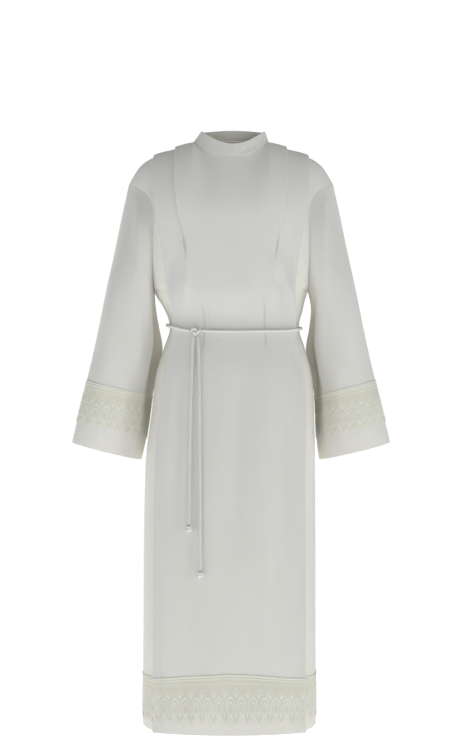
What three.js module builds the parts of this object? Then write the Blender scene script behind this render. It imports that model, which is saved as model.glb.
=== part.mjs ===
// Alb: a full-length white church tunic with knife pleats on the shoulders, wide straight
// sleeves, a stand collar, lace on the cuffs and hem, and a rope cincture tied at the waist.
// It keeps the hollow form of a worn garment, with neck, cuffs and hem open.
// Millimetres. +Z is up, the front faces -Y and the wearer's left is +X.
// The origin is between the wearer's shoulders, which hold the garment up.
import * as THREE from 'three';

// ---- Driving dimensions ----------------------------------------------------------------
const CLOTH = 1.2; // thickness of the cloth wall
const SEAM_GAP = 0.3; // between the edges of pieces that are sewn together
const CURVED_SEAM_GAP = 0.45; // the same where the seam slants, so that no corner comes closer
const LACE = 0.9; // thickness of the lace wall
const LACE_LIFT = 0.4; // how far the lace lies clear of the cloth
const FRONT = -1; // the side that faces -Y
const BACK = 1;

const NECK = { halfWidth: 90, front: 75, back: 62, sideZ: -5, frontDip: 45, backRise: 13 };
const COLLAR_TOP = { halfWidth: 76, front: 66, back: 58, sideZ: 22, frontDip: 39, backRise: 12, shift: 5 };
const ARMHOLE = { tipX: 245, tipZ: -107, underX: 184, underZ: -358, front: 72, back: 80, tipPull: 12 };
const SHOULDER_LEVEL = -41; // where the level tables start
const HEM_Z = -1390;
const PLEAT = { shoulderTurn: 1.5, hemTurn: 5, tuck: 30 };
const ROPE = { radius: 3.5, sides: 10, waistSteps: 54, endSteps: 28 };
const KNOT_FACES = { around: 16, rings: 10 };
const BODY_ROUNDNESS = 2.2; // how flat the front of a level section is before it turns back
const SAG_POWER = 1.5; // how late the sag of a row sets in towards the side
const SHARPEST_MITRE = 0.55; // keeps the wall's corner from growing long where a pleat turns

// Height of the shoulder seam, before the pleats step it down.
const SHOULDER_LINE = [
  { x: 0, z: -5 },
  { x: 90, z: -5 },
  { x: 133, z: -15 },
  { x: 185, z: -29 },
  { x: 217, z: -50 },
  { x: 236, z: -78 },
  { x: 245, z: -95 },
];

// Outline of the body seen from the front. edgeOne and edgeTwo are the outer edges of the two
// pleats, side is the half-width and shift moves the section sideways.
const WIDTHS = [
  { level: -41, edgeOne: 133, edgeTwo: 185, side: 184, shift: 0 },
  { level: -135, edgeOne: 133, edgeTwo: 184, side: 184, shift: 0 },
  { level: -200, edgeOne: 131, edgeTwo: 175, side: 184, shift: 0 },
  { level: -285, edgeOne: 122, edgeTwo: 159, side: 184, shift: 2 },
  { level: -358, edgeOne: 112, edgeTwo: 151, side: 184, shift: 4 },
  { level: -400, edgeOne: 108, edgeTwo: 147, side: 167, shift: 7 },
  { level: -448, edgeOne: 106, edgeTwo: 144, side: 154, shift: 8 },
  { level: -500, edgeOne: 110, edgeTwo: 152, side: 169, shift: 8 },
  { level: -560, edgeOne: 118, edgeTwo: 164, side: 186, shift: 7 },
  { level: -640, edgeOne: 124, edgeTwo: 172, side: 193, shift: 5 },
  { level: -790, edgeOne: 128, edgeTwo: 176, side: 203, shift: -2 },
  { level: -1390, edgeOne: 128, edgeTwo: 178, side: 207, shift: -4 },
];

// Outline of the body seen from the side: how far the middle and the pleat edge stand out.
const DEPTHS = [
  { level: -41, frontMiddle: 116, frontEdge: 92, backMiddle: 108, backEdge: 90 },
  { level: -200, frontMiddle: 122, frontEdge: 94, backMiddle: 118, backEdge: 96 },
  { level: -358, frontMiddle: 118, frontEdge: 88, backMiddle: 110, backEdge: 88 },
  { level: -448, frontMiddle: 104, frontEdge: 78, backMiddle: 96, backEdge: 74 },
  { level: -560, frontMiddle: 120, frontEdge: 92, backMiddle: 118, backEdge: 92 },
  { level: -790, frontMiddle: 134, frontEdge: 108, backMiddle: 136, backEdge: 108 },
  { level: -1390, frontMiddle: 155, frontEdge: 124, backMiddle: 156, backEdge: 122 },
];

// How far each pleat is closed (1 is a pressed knife pleat, 0 is flat cloth), and how much the
// turn of the outer pleat has opened from its shoulder radius to its hem radius.
const PLEATS = [
  { level: -41, inner: 1, outer: 1, open: 0 },
  { level: -200, inner: 1, outer: 1, open: 0.05 },
  { level: -300, inner: 0.45, outer: 1, open: 0.1 },
  { level: -400, inner: 0, outer: 1, open: 0.15 },
  { level: -560, inner: 0, outer: 1, open: 0.4 },
  { level: -790, inner: 0, outer: 1, open: 0.8 },
  { level: -1390, inner: 0, outer: 1, open: 1 },
];

// Horizontal rows below the underarm. sag lowers the row towards the sides.
const LOWER_ROWS = [
  { name: 'belowArm', level: -382, sag: 0 },
  { name: 'ribs', level: -415, sag: 0 },
  { name: 'waist', level: -448, sag: 0 },
  { name: 'belowWaist', level: -485, sag: 0 },
  { name: 'hip', level: -530, sag: 0 },
  { name: 'seat', level: -600, sag: 0 },
  { name: 'thigh', level: -720, sag: 0 },
  { name: 'knee', level: -950, sag: 0 },
  { name: 'laceTop', level: -1250, sag: 20 },
  { name: 'laceTips', level: -1371, sag: 3 },
  { name: 'hem', level: HEM_Z, sag: 0 },
];

// Sections of a sleeve from the armhole to the cuff, each across from a point of the outer line
// to one of the inner line. front and back are how far the cloth stands out from that line, pull
// draws it in to the armhole, and follow moves the inner line sideways with the body.
const SLEEVE = [
  { outer: [245, 0, -107], inner: [184, 0, -358], front: 72, back: 80, pull: 1, follow: 0 },
  { outer: [252, 0, -140], inner: [187, 2, -378], front: 82, back: 87, pull: 0.6, follow: 0.5 },
  { outer: [263, 0, -190], inner: [188, 8, -410], front: 90, back: 90, pull: 0.3, follow: 1 },
  { outer: [279, -2, -270], inner: [182, 28, -450], front: 96, back: 84, pull: 0.1, follow: 1 },
  { outer: [298, -5, -360], inner: [175, 48, -500], front: 98, back: 76, pull: 0, follow: 1 },
  { outer: [320, -8, -468], inner: [186, 50, -560], front: 94, back: 74, pull: 0, follow: 1 },
  { outer: [344, -12, -574], inner: [197, 42, -612], front: 84, back: 72, pull: 0, follow: 1 },
  { outer: [368, -15, -675], inner: [207, 30, -717], front: 76, back: 68, pull: 0, follow: 1 },
  { outer: [379, -16, -722], inner: [215, 24, -765], front: 72, back: 64, pull: 0, follow: 1 },
];
const LACE_TOP_SECTION = 6;
const LACE_TIP_SECTION = 7;

const STEPS_OVER_SHOULDER = 8; // rows from the shoulder seam down to the underarm
const NECK_STEPS = 5; // columns from the middle of the neck to its side

// Route of the rope round the waist, from one side of the knot to the other.
const WAIST_ROUTE = [
  [-68.6, -105, -459],
  [-20, -110, -460],
  [40, -109.5, -460],
  [95, -102.5, -459],
  [128, -94.5, -458],
  [150.5, -87, -456],
  [160, -78.5, -455],
  [164, -60, -454],
  [166, -29, -452],
  [168, 2, -450],
  [164.5, 30, -449],
  [160, 56, -449],
  [159, 77, -449],
  [138, 86, -449],
  [112, 92, -450],
  [83, 97.5, -450],
  [38, 101.5, -451],
  [8, 102.5, -451],
  [-36, 100.5, -451],
  [-65, 97.5, -450],
  [-94, 91.5, -449],
  [-122, 87, -448],
  [-142.5, 77, -447],
  [-145, 56, -446],
  [-149.5, 30, -444],
  [-153, 2, -443],
  [-150.5, -28, -443],
  [-147.5, -58, -445],
  [-143.5, -79, -448],
  [-135, -87, -450],
  [-110, -95, -456],
  [-95.5, -99, -458],
];
const KNOT = { x: -82, y: -106.5, z: -460, width: 26, depth: 17, height: 21 };
const LONG_END = [
  [-77, -105.5, -471.2],
  [-75, -110.8, -500],
  [-73.5, -117.3, -545],
  [-72.5, -124, -600],
  [-72, -131.8, -700],
  [-71, -136.8, -810],
  [-70.5, -141.3, -905],
  [-70, -147, -1010],
];
const SHORT_END = [
  [-87, -104.5, -471.2],
  [-88.5, -108, -500],
  [-90, -114.8, -550],
  [-91.5, -120.2, -600],
  [-94, -128.2, -700],
  [-95, -133.3, -805],
  [-96, -139.5, -905],
];
const END_KNOT = { radius: 7, height: 20, out: 2.5 };

// ---- Reading the tables ----------------------------------------------------------------
// A smooth curve through one column of a table, by cubic Hermite pieces.
function readTable(table, key, column, at) {
  const rising = table[table.length - 1][key] > table[0][key] ? 1 : -1;
  const last = table.length - 1;
  const place = Math.min(Math.max(at * rising, table[0][key] * rising), table[last][key] * rising) * rising;
  let i = 0;
  while (i < last - 1 && table[i + 1][key] * rising < place * rising) i += 1;
  const slope = (k) => {
    const before = table[Math.max(k - 1, 0)];
    const after = table[Math.min(k + 1, last)];
    return (after[column] - before[column]) / (after[key] - before[key]);
  };
  const span = table[i + 1][key] - table[i][key];
  const t = (place - table[i][key]) / span;
  const square = t * t;
  const cube = square * t;
  const start = (2 * cube - 3 * square + 1) * table[i][column];
  const end = (3 * square - 2 * cube) * table[i + 1][column];
  const leave = (cube - 2 * square + t) * span * slope(i);
  const arrive = (cube - square) * span * slope(i + 1);
  return start + end + leave + arrive;
}

// ---- Edges that pieces share -----------------------------------------------------------
function loopPoint(loop, angle, face) {
  const across = Math.sin(angle);
  const along = Math.cos(angle);
  const depth = face === FRONT ? -loop.front : loop.back;
  const lift = face === FRONT ? -loop.frontDip : loop.backRise;
  const x = (loop.shift ?? 0) + loop.halfWidth * across;
  return new THREE.Vector3(x, depth * along, loop.sideZ + lift * along * along);
}

function armholeX(angle) {
  const height = (1 + Math.cos(angle)) / 2;
  return ARMHOLE.underX + (ARMHOLE.tipX - ARMHOLE.underX) * height ** ARMHOLE.tipPull;
}

function armholeY(angle, face) {
  return face * Math.sin(angle) * (face === FRONT ? ARMHOLE.front : ARMHOLE.back);
}

// ---- Rows and columns of a body panel --------------------------------------------------
function bodyRows() {
  const rows = [];
  for (let i = 0; i <= STEPS_OVER_SHOULDER; i += 1) {
    const angle = (Math.PI * i) / STEPS_OVER_SHOULDER;
    const drop = (1 - Math.cos(angle)) / 2;
    const level = SHOULDER_LEVEL + drop * (ARMHOLE.underZ - SHOULDER_LEVEL);
    rows.push({ angle, drop, level, sag: 0, upper: true });
  }
  for (const row of LOWER_ROWS) {
    rows.push({ angle: Math.PI, drop: 1, level: row.level, sag: row.sag, upper: false });
  }
  return rows;
}
const ROWS = bodyRows();
const LACE_TOP_ROW = STEPS_OVER_SHOULDER + 1 + LOWER_ROWS.findIndex((row) => row.name === 'laceTop');

// Stations of a knife pleat from the visible layer to the layer below it. along is measured
// from the pleat's edge and under is the depth below the visible layer, in turn radii.
const PLEAT_STATIONS = [
  { turn: -1, tuck: 0, under: 0 },
  { turn: 0, tuck: 0, under: 1 },
  { turn: -1, tuck: 0, under: 2 },
  { turn: 1, tuck: -1, under: 2 },
  { turn: 0, tuck: -1, under: 3 },
  { turn: 1, tuck: -1, under: 4 },
];
const OPEN_SPACING = 7; // between the same stations where the pleat lies flat

function pleatStations(edge, closed, turn, layersAbove) {
  return PLEAT_STATIONS.map((station, index) => {
    const shut = edge + station.turn * turn + station.tuck * PLEAT.tuck;
    const flat = edge + (index - PLEAT_STATIONS.length + 1) * OPEN_SPACING;
    return { x: flat + (shut - flat) * closed, under: layersAbove + station.under * turn * closed };
  });
}

// One half of a row, from the middle to the pleat furthest out: x and depth below the surface.
function halfStations(row) {
  const edgeOne = readTable(WIDTHS, 'level', 'edgeOne', row.level);
  const edgeTwo = readTable(WIDTHS, 'level', 'edgeTwo', row.level);
  const inner = readTable(PLEATS, 'level', 'inner', row.level);
  const outer = readTable(PLEATS, 'level', 'outer', row.level);
  const open = readTable(PLEATS, 'level', 'open', row.level);
  const outerTurn = PLEAT.shoulderTurn + (PLEAT.hemTurn - PLEAT.shoulderTurn) * open;
  const neckScale = edgeOne / WIDTHS[0].edgeOne;
  const stations = [];
  for (let k = 0; k <= NECK_STEPS; k += 1) {
    const across = Math.sin((Math.PI / 2) * (k / NECK_STEPS));
    stations.push({ x: NECK.halfWidth * across * neckScale, under: 0 });
  }
  const first = pleatStations(edgeOne, inner, PLEAT.shoulderTurn, 0);
  stations.push({ x: (NECK.halfWidth * neckScale + first[0].x) / 2, under: 0 });
  stations.push(...first);
  const layersAbove = first[first.length - 1].under;
  const second = pleatStations(edgeTwo, outer, outerTurn, layersAbove);
  stations.push({ x: (first[first.length - 1].x + second[0].x) / 2, under: layersAbove });
  stations.push(...second);
  return stations;
}

// A point of the body's surface: x across, a row, and how deep it lies under the top layer.
function bodyPoint(x, under, row, face) {
  const across = Math.min(Math.abs(x) / NECK.halfWidth, 1);
  const alongNeck = Math.sqrt(1 - across * across);
  const neckZ = NECK.sideZ + alongNeck ** 2 * (face === FRONT ? -NECK.frontDip : NECK.backRise);
  const seamZ = readTable(SHOULDER_LINE, 'x', 'z', Math.abs(x));
  const topZ = across < 1 ? neckZ : seamZ;
  const topY = alongNeck * (face === FRONT ? NECK.front : NECK.back);
  const names = face === FRONT ? ['frontMiddle', 'frontEdge'] : ['backMiddle', 'backEdge'];
  const middle = readTable(DEPTHS, 'level', names[0], row.level);
  const edge = readTable(DEPTHS, 'level', names[1], row.level);
  const edgeTwo = readTable(WIDTHS, 'level', 'edgeTwo', row.level);
  const outness = Math.min(Math.abs(x) / edgeTwo, 1);
  const full = middle - (middle - edge) * outness ** BODY_ROUNDNESS;
  const over = row.angle < Math.PI / 2 ? Math.sin(row.angle) : 1;
  const ramp = over + (over * over - over) * alongNeck;
  const y = topY + (full - topY) * ramp - under * over;
  const lie = Math.sqrt(Math.max(1 - over * over, 0));
  const sideways = Math.min(Math.abs(x) / readTable(WIDTHS, 'level', 'side', row.level), 1);
  const upperZ = topZ + row.drop * (ARMHOLE.underZ - topZ);
  const lowerZ = row.level - row.sag * sideways ** SAG_POWER;
  const hang = row.upper ? upperZ : lowerZ;
  return new THREE.Vector3(x, face * y, hang - under * lie);
}

// The stretch beyond the outer pleat: a quarter turn round to the armhole or the side seam.
const SIDE_STEPS = [0.25, 0.5, 0.75, 1];

function sidePoints(from, row, face) {
  const side = readTable(WIDTHS, 'level', 'side', row.level);
  const startSeam = readTable(SHOULDER_LINE, 'x', 'z', from.x);
  const tipSeam = readTable(SHOULDER_LINE, 'x', 'z', ARMHOLE.tipX);
  return SIDE_STEPS.map((share) => {
    const turn = (Math.PI / 2) * share;
    if (!row.upper) {
      const x = from.x + (side - from.x) * Math.sin(turn);
      const sag = row.sag * Math.min(x / side, 1) ** SAG_POWER;
      return new THREE.Vector3(x, from.y * Math.cos(turn), row.level - sag);
    }
    const endX = armholeX(row.angle);
    const endY = armholeY(row.angle, face);
    const x = from.x + (endX - from.x) * Math.sin(turn);
    const y = endY + (from.y - endY) * Math.cos(turn);
    const endZ = ARMHOLE.tipZ + row.drop * (ARMHOLE.underZ - ARMHOLE.tipZ);
    const seamX = from.x + (ARMHOLE.tipX - from.x) * Math.sin(turn);
    const fall = (readTable(SHOULDER_LINE, 'x', 'z', seamX) - startSeam) / (tipSeam - startSeam);
    return new THREE.Vector3(x, y, from.z + (endZ - from.z) * fall);
  });
}

// All rows of a panel from -X to +X, as points in the middle of the cloth.
function panelGrid(face) {
  return ROWS.map((row) => {
    const stations = halfStations(row);
    const half = stations.map((station) => bodyPoint(station.x, station.under, row, face));
    half.push(...sidePoints(half[half.length - 1], row, face));
    const mirrored = half.slice(1).reverse().map((point) => new THREE.Vector3(-point.x, point.y, point.z));
    const points = [...mirrored, ...half];
    const shift = row.upper ? 0 : readTable(WIDTHS, 'level', 'shift', row.level);
    for (const point of points) {
      point.x += shift;
      point.y += (face * SEAM_GAP) / 2;
    }
    return points;
  });
}

// ---- Sleeves ---------------------------------------------------------------------------
function sleevePoint(section, angle, side) {
  const reach = Math.sin(angle) >= 0 ? section.front : section.back;
  const toOuter = (1 + Math.cos(angle)) / 2;
  const { outer, inner } = section;
  const across = (axis, share) => inner[axis] + (outer[axis] - inner[axis]) * share;
  const drawnIn = toOuter + (toOuter ** ARMHOLE.tipPull - toOuter) * section.pull;
  const besideBody = section.follow * (1 - toOuter) * readTable(WIDTHS, 'level', 'shift', inner[2]);
  const x = side * across(0, drawnIn) + besideBody;
  return new THREE.Vector3(x, across(1, toOuter) - Math.sin(angle) * reach, across(2, toOuter));
}

function sleeveGrid(side) {
  const around = STEPS_OVER_SHOULDER * 2;
  return SLEEVE.map((section) => {
    const points = [];
    for (let k = 0; k < around; k += 1) {
      points.push(sleevePoint(section, (2 * Math.PI * k) / around, side));
    }
    return points;
  });
}

// ---- Collar ----------------------------------------------------------------------------
function collarGrid() {
  const around = NECK_STEPS * 4;
  const levels = [0, 0.5, 1];
  return levels.map((share) => {
    const points = [];
    for (let k = 0; k < around; k += 1) {
      const angle = (2 * Math.PI * k) / around;
      const face = Math.cos(angle) >= 0 ? FRONT : BACK;
      const reach = face === FRONT ? angle : Math.PI - angle;
      const low = loopPoint(NECK, reach, face);
      const high = loopPoint(COLLAR_TOP, reach, face);
      low.z += CURVED_SEAM_GAP;
      points.push(low.lerp(high, share));
    }
    return points;
  });
}

// ---- From a grid of points to a closed wall --------------------------------------------
// Directions out of the cloth at each point, lengthened where the row turns a corner.
function outwardDirections(grid, outward, loops) {
  const width = grid[0].length;
  return grid.map((row, i) =>
    row.map((point, j) => {
      const above = grid[Math.max(i - 1, 0)][j];
      const below = grid[Math.min(i + 1, grid.length - 1)][j];
      const down = below.clone().sub(above);
      const beforeIndex = loops ? (j + width - 1) % width : Math.max(j - 1, 0);
      const afterIndex = loops ? (j + 1) % width : Math.min(j + 1, width - 1);
      const before = point.clone().sub(row[beforeIndex]);
      const after = row[afterIndex].clone().sub(point);
      if (before.lengthSq() === 0) before.copy(after);
      if (after.lengthSq() === 0) after.copy(before);
      const first = down.clone().cross(before).normalize();
      const second = down.clone().cross(after).normalize();
      const mitre = 1 / Math.max(1 + first.dot(second), SHARPEST_MITRE);
      return first.add(second).multiplyScalar(mitre * outward);
    }),
  );
}

// A wall between two offsets of the grid, closed along its rims.
function wallGeometry(grid, directions, innerOffset, outerOffset, loops) {
  const height = grid.length;
  const width = grid[0].length;
  const positions = [];
  const layer = (offset) => {
    const start = positions.length / 3;
    grid.forEach((row, i) => {
      row.forEach((point, j) => {
        const moved = point.clone().addScaledVector(directions[i][j], offset);
        positions.push(moved.x, moved.y, moved.z);
      });
    });
    return (i, j) => start + i * width + (j % width);
  };
  const outer = layer(outerOffset);
  const inner = layer(innerOffset);
  const faces = [];
  const quad = (a, b, c, d) => faces.push(a, b, c, a, c, d);
  const columns = loops ? width : width - 1;
  for (let i = 0; i < height - 1; i += 1) {
    for (let j = 0; j < columns; j += 1) {
      quad(outer(i, j), outer(i + 1, j), outer(i + 1, j + 1), outer(i, j + 1));
      quad(inner(i, j), inner(i, j + 1), inner(i + 1, j + 1), inner(i + 1, j));
    }
  }
  for (let j = 0; j < columns; j += 1) {
    quad(outer(0, j), outer(0, j + 1), inner(0, j + 1), inner(0, j));
    quad(outer(height - 1, j + 1), outer(height - 1, j), inner(height - 1, j), inner(height - 1, j + 1));
  }
  if (!loops) {
    for (let i = 0; i < height - 1; i += 1) {
      quad(outer(i + 1, 0), outer(i, 0), inner(i, 0), inner(i + 1, 0));
      quad(outer(i, width - 1), outer(i + 1, width - 1), inner(i + 1, width - 1), inner(i, width - 1));
    }
  }
  const geometry = new THREE.BufferGeometry();
  geometry.setAttribute('position', new THREE.Float32BufferAttribute(positions, 3));
  geometry.setIndex(faces);
  return facingOut(geometry);
}

// Turns every triangle over when the closed mesh comes out with a negative volume.
function facingOut(geometry) {
  const points = geometry.getAttribute('position');
  const faces = geometry.getIndex().array;
  const [a, b, c] = [new THREE.Vector3(), new THREE.Vector3(), new THREE.Vector3()];
  let volume = 0;
  for (let k = 0; k < faces.length; k += 3) {
    a.fromBufferAttribute(points, faces[k]);
    b.fromBufferAttribute(points, faces[k + 1]);
    c.fromBufferAttribute(points, faces[k + 2]);
    volume += a.dot(b.cross(c)) / 6;
  }
  if (volume < 0) {
    for (let k = 0; k < faces.length; k += 3) {
      [faces[k + 1], faces[k + 2]] = [faces[k + 2], faces[k + 1]];
    }
  }
  geometry.computeVertexNormals();
  return geometry;
}

// ---- The garment -----------------------------------------------------------------------
const cloth = { color: 0xf1f2ef, roughness: 0.85, metalness: 0 };
const lace = { color: 0xeeead8, roughness: 0.9, metalness: 0 };
const rope = { color: 0xfafafa, roughness: 0.8, metalness: 0 };

const alb = new THREE.Group();
alb.name = 'alb';

function addPiece(name, geometry, finish) {
  const mesh = new THREE.Mesh(geometry, new THREE.MeshStandardMaterial(finish));
  mesh.name = name;
  alb.add(mesh);
}

const panels = new Map([FRONT, BACK].map((face) => [face, panelGrid(face)]));
const panelOut = new Map();
for (const face of [FRONT, BACK]) {
  panelOut.set(face, outwardDirections(panels.get(face), -face, false));
}
const sleeves = new Map([-1, 1].map((side) => [side, sleeveGrid(side)]));
const sleeveOut = new Map();
for (const side of [-1, 1]) {
  sleeveOut.set(side, outwardDirections(sleeves.get(side), -side, true));
}

// Where two pieces are sewn together both edges are as thick in the same direction, so that
// their end faces lie flat against each other.
function matchNeckEdge(face) {
  const grid = panels.get(face);
  const directions = panelOut.get(face);
  const middle = (grid[0].length - 1) / 2;
  grid[0].forEach((point, j) => {
    const fromMiddle = Math.abs(j - middle);
    if (fromMiddle <= NECK_STEPS) {
      const depth = face === FRONT ? NECK.front : NECK.back;
      directions[0][j].set(point.x / NECK.halfWidth ** 2, point.y / depth ** 2, 0).normalize();
      return;
    }
    const after = (grid[0][j + 1] ?? point).clone().sub(point);
    const before = point.clone().sub(grid[0][j - 1] ?? point);
    if (after.lengthSq() === 0) after.copy(before);
    if (before.lengthSq() === 0) before.copy(after);
    const up = (step) => new THREE.Vector3(-step.z, 0, step.x).normalize();
    const first = up(before);
    const second = up(after);
    const mitre = 1 / Math.max(1 + first.dot(second), SHARPEST_MITRE);
    directions[0][j].copy(first.add(second).multiplyScalar(mitre));
  });
}

function matchSideSeam(face) {
  const directions = panelOut.get(face);
  for (let i = STEPS_OVER_SHOULDER + 1; i < ROWS.length; i += 1) {
    directions[i][0].set(-1, 0, 0);
    directions[i][directions[i].length - 1].set(1, 0, 0);
  }
}

function matchArmhole(side) {
  const loop = sleeves.get(side)[0];
  const around = loop.length;
  const shared = [];
  for (let k = 0; k < around; k += 1) {
    const face = k <= STEPS_OVER_SHOULDER ? FRONT : BACK;
    const i = k <= STEPS_OVER_SHOULDER ? k : around - k;
    const edge = side > 0 ? panels.get(face)[0].length - 1 : 0;
    const tangent = loop[(k + 1) % around].clone().sub(loop[(k + around - 1) % around]).normalize();
    const body = panelOut.get(face)[i][edge].clone().normalize();
    const sum = body.add(sleeveOut.get(side)[0][k].clone().normalize());
    sum.addScaledVector(tangent, -sum.dot(tangent)).normalize();
    if (i === 0 || i === STEPS_OVER_SHOULDER) sum.setY(0).normalize();
    shared.push(sum);
  }
  for (let k = 0; k < around; k += 1) {
    const i = k <= STEPS_OVER_SHOULDER ? k : around - k;
    const edge = side > 0 ? panels.get(FRONT)[0].length - 1 : 0;
    const atSeam = i === 0 || i === STEPS_OVER_SHOULDER;
    for (const face of atSeam ? [FRONT, BACK] : [k < STEPS_OVER_SHOULDER ? FRONT : BACK]) {
      panelOut.get(face)[i][edge].copy(shared[k]);
    }
    sleeveOut.get(side)[0][k].copy(shared[k]);
  }
  // The sleeve starts one gap beyond the body's edge.
  const moved = loop.map((point, k) => {
    const tangent = loop[(k + 1) % around].clone().sub(loop[(k + around - 1) % around]).normalize();
    const across = tangent.cross(shared[k]);
    if (across.x * side < 0) across.negate();
    return point.clone().addScaledVector(across, CURVED_SEAM_GAP);
  });
  moved.forEach((point, k) => loop[k].copy(point));
}

for (const face of [FRONT, BACK]) {
  matchNeckEdge(face);
  matchSideSeam(face);
}
for (const side of [-1, 1]) {
  matchArmhole(side);
}

for (const [face, name] of [[FRONT, 'front_panel'], [BACK, 'back_panel']]) {
  const geometry = wallGeometry(panels.get(face), panelOut.get(face), -CLOTH / 2, CLOTH / 2, false);
  addPiece(name, geometry, cloth);
}
for (const [side, name] of [[1, 'sleeve_left'], [-1, 'sleeve_right']]) {
  const geometry = wallGeometry(sleeves.get(side), sleeveOut.get(side), -CLOTH / 2, CLOTH / 2, true);
  addPiece(name, geometry, cloth);
}

const collar = collarGrid();
const collarOut = outwardDirections(collar, -1, true);
collarOut[0].forEach((direction) => direction.setZ(0).normalize());
addPiece('collar', wallGeometry(collar, collarOut, -CLOTH / 2, CLOTH / 2, true), cloth);

// Lace lies on the outside of the cloth, so it uses the same points moved out.
const LACE_INNER = CLOTH / 2 + LACE_LIFT;
const LACE_OUTER = LACE_INNER + LACE;
for (const [face, name] of [[FRONT, 'lace_hem_front'], [BACK, 'lace_hem_back']]) {
  const rows = panels.get(face).slice(LACE_TOP_ROW, LACE_TOP_ROW + 2);
  const directions = panelOut.get(face).slice(LACE_TOP_ROW, LACE_TOP_ROW + 2);
  addPiece(name, wallGeometry(rows, directions, LACE_INNER, LACE_OUTER, false), lace);
}
for (const [side, name] of [[1, 'lace_cuff_left'], [-1, 'lace_cuff_right']]) {
  const rows = sleeves.get(side).slice(LACE_TOP_SECTION, LACE_TIP_SECTION + 1);
  const directions = sleeveOut.get(side).slice(LACE_TOP_SECTION, LACE_TIP_SECTION + 1);
  addPiece(name, wallGeometry(rows, directions, LACE_INNER, LACE_OUTER, true), lace);
}

// ---- Cincture --------------------------------------------------------------------------
function ropeGeometry(route, steps) {
  const path = new THREE.CatmullRomCurve3(route.map((point) => new THREE.Vector3(...point)));
  const section = new THREE.Shape();
  for (let k = 0; k < ROPE.sides; k += 1) {
    const angle = (2 * Math.PI * k) / ROPE.sides;
    const [x, y] = [ROPE.radius * Math.cos(angle), ROPE.radius * Math.sin(angle)];
    if (k === 0) section.moveTo(x, y);
    else section.lineTo(x, y);
  }
  return new THREE.ExtrudeGeometry(section, { extrudePath: path, steps, curveSegments: 1 });
}

function lumpGeometry(width, depth, height) {
  const geometry = new THREE.SphereGeometry(0.5, KNOT_FACES.around, KNOT_FACES.rings);
  geometry.scale(width, depth, height);
  return geometry;
}

addPiece('cincture_waist', ropeGeometry(WAIST_ROUTE, ROPE.waistSteps), rope);
const knot = lumpGeometry(KNOT.width, KNOT.depth, KNOT.height);
knot.translate(KNOT.x, KNOT.y, KNOT.z);
addPiece('cincture_knot', knot, rope);
for (const [route, name] of [[LONG_END, 'long'], [SHORT_END, 'short']]) {
  addPiece(`cincture_end_${name}`, ropeGeometry(route, ROPE.endSteps), rope);
  const end = route[route.length - 1];
  const endKnot = lumpGeometry(END_KNOT.radius * 2, END_KNOT.radius * 2, END_KNOT.height);
  endKnot.translate(end[0], end[1] - END_KNOT.out, end[2] - END_KNOT.height / 2 - SEAM_GAP);
  addPiece(`cincture_end_knot_${name}`, endKnot, rope);
}

export default alb;
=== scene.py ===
# %% [markdown]
# This lesson makes a church alb in Blender: a long white tunic with pressed shoulder pleats,
# wide sleeves, a stand collar, lace on its cuffs and hem, and a rope cincture round the waist.
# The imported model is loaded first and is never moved. It says where every piece lies, and each
# finer piece made here takes the place of one of its plain solids.

# %% Load the frame
import math

import bpy
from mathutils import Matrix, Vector
import numpy as np


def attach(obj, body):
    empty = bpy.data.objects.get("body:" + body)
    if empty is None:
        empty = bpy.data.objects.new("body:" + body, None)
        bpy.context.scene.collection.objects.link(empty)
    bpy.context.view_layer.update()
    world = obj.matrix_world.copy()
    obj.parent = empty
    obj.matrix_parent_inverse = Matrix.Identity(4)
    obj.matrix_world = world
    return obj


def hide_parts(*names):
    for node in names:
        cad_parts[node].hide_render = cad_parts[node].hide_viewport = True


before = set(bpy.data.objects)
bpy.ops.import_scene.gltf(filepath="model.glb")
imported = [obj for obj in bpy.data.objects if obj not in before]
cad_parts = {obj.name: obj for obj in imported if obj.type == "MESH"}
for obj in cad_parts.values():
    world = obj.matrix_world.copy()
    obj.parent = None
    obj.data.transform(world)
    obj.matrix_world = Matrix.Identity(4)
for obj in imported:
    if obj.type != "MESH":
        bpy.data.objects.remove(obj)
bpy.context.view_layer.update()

# %% [markdown]
# The camera stands 3.5 m in front of the garment, level with its middle, as a studio camera
# does for a full-length garment. The frame is 465 wide and 750 high, and 1.8 m of the plane
# through the shoulders fills its height, so the lens follows from the distance.

# %% Camera
CAMERA_PLACE = (0.0036, -3.5, -0.562)
FIELD_HEIGHT = 1.8
SENSOR_HEIGHT = 24.0
FRONT, BACK = -1, 1


def add_camera():
    data = bpy.data.cameras.new("studio_camera")
    data.sensor_fit = "VERTICAL"
    data.sensor_height = SENSOR_HEIGHT
    data.lens = SENSOR_HEIGHT * -CAMERA_PLACE[1] / FIELD_HEIGHT
    camera = bpy.data.objects.new("studio_camera", data)
    camera.location = CAMERA_PLACE
    camera.rotation_euler = (math.radians(90), 0, 0)
    bpy.context.scene.collection.objects.link(camera)
    bpy.context.scene.camera = camera
    return camera


camera = add_camera()
print("camera lens", round(camera.data.lens, 2), "mm")

# %% [markdown]
# Every cloth, lace and rope surface here is a grid of points: rows along the length and
# columns across. One helper turns such a grid into a mesh with a UV map in metres of real
# cloth, which keeps the weave the same size everywhere, and another gives it a thickness.

# %% Mesh helpers
SMOOTH_UNDER = math.radians(50)


def smooth_step(share):
    share = np.clip(share, 0, 1)
    return share * share * (3 - 2 * share)


def select_only(piece):
    bpy.ops.object.select_all(action="DESELECT")
    piece.select_set(True)
    bpy.context.view_layer.objects.active = piece


def distances_along(points, axis):
    """Length along a grid of points from its first row or column to each point."""
    steps = np.linalg.norm(np.diff(points, axis=axis), axis=-1)
    start = np.zeros_like(np.take(steps, [0], axis=axis))
    return np.cumsum(np.concatenate([start, steps], axis=axis), axis=axis)


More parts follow.
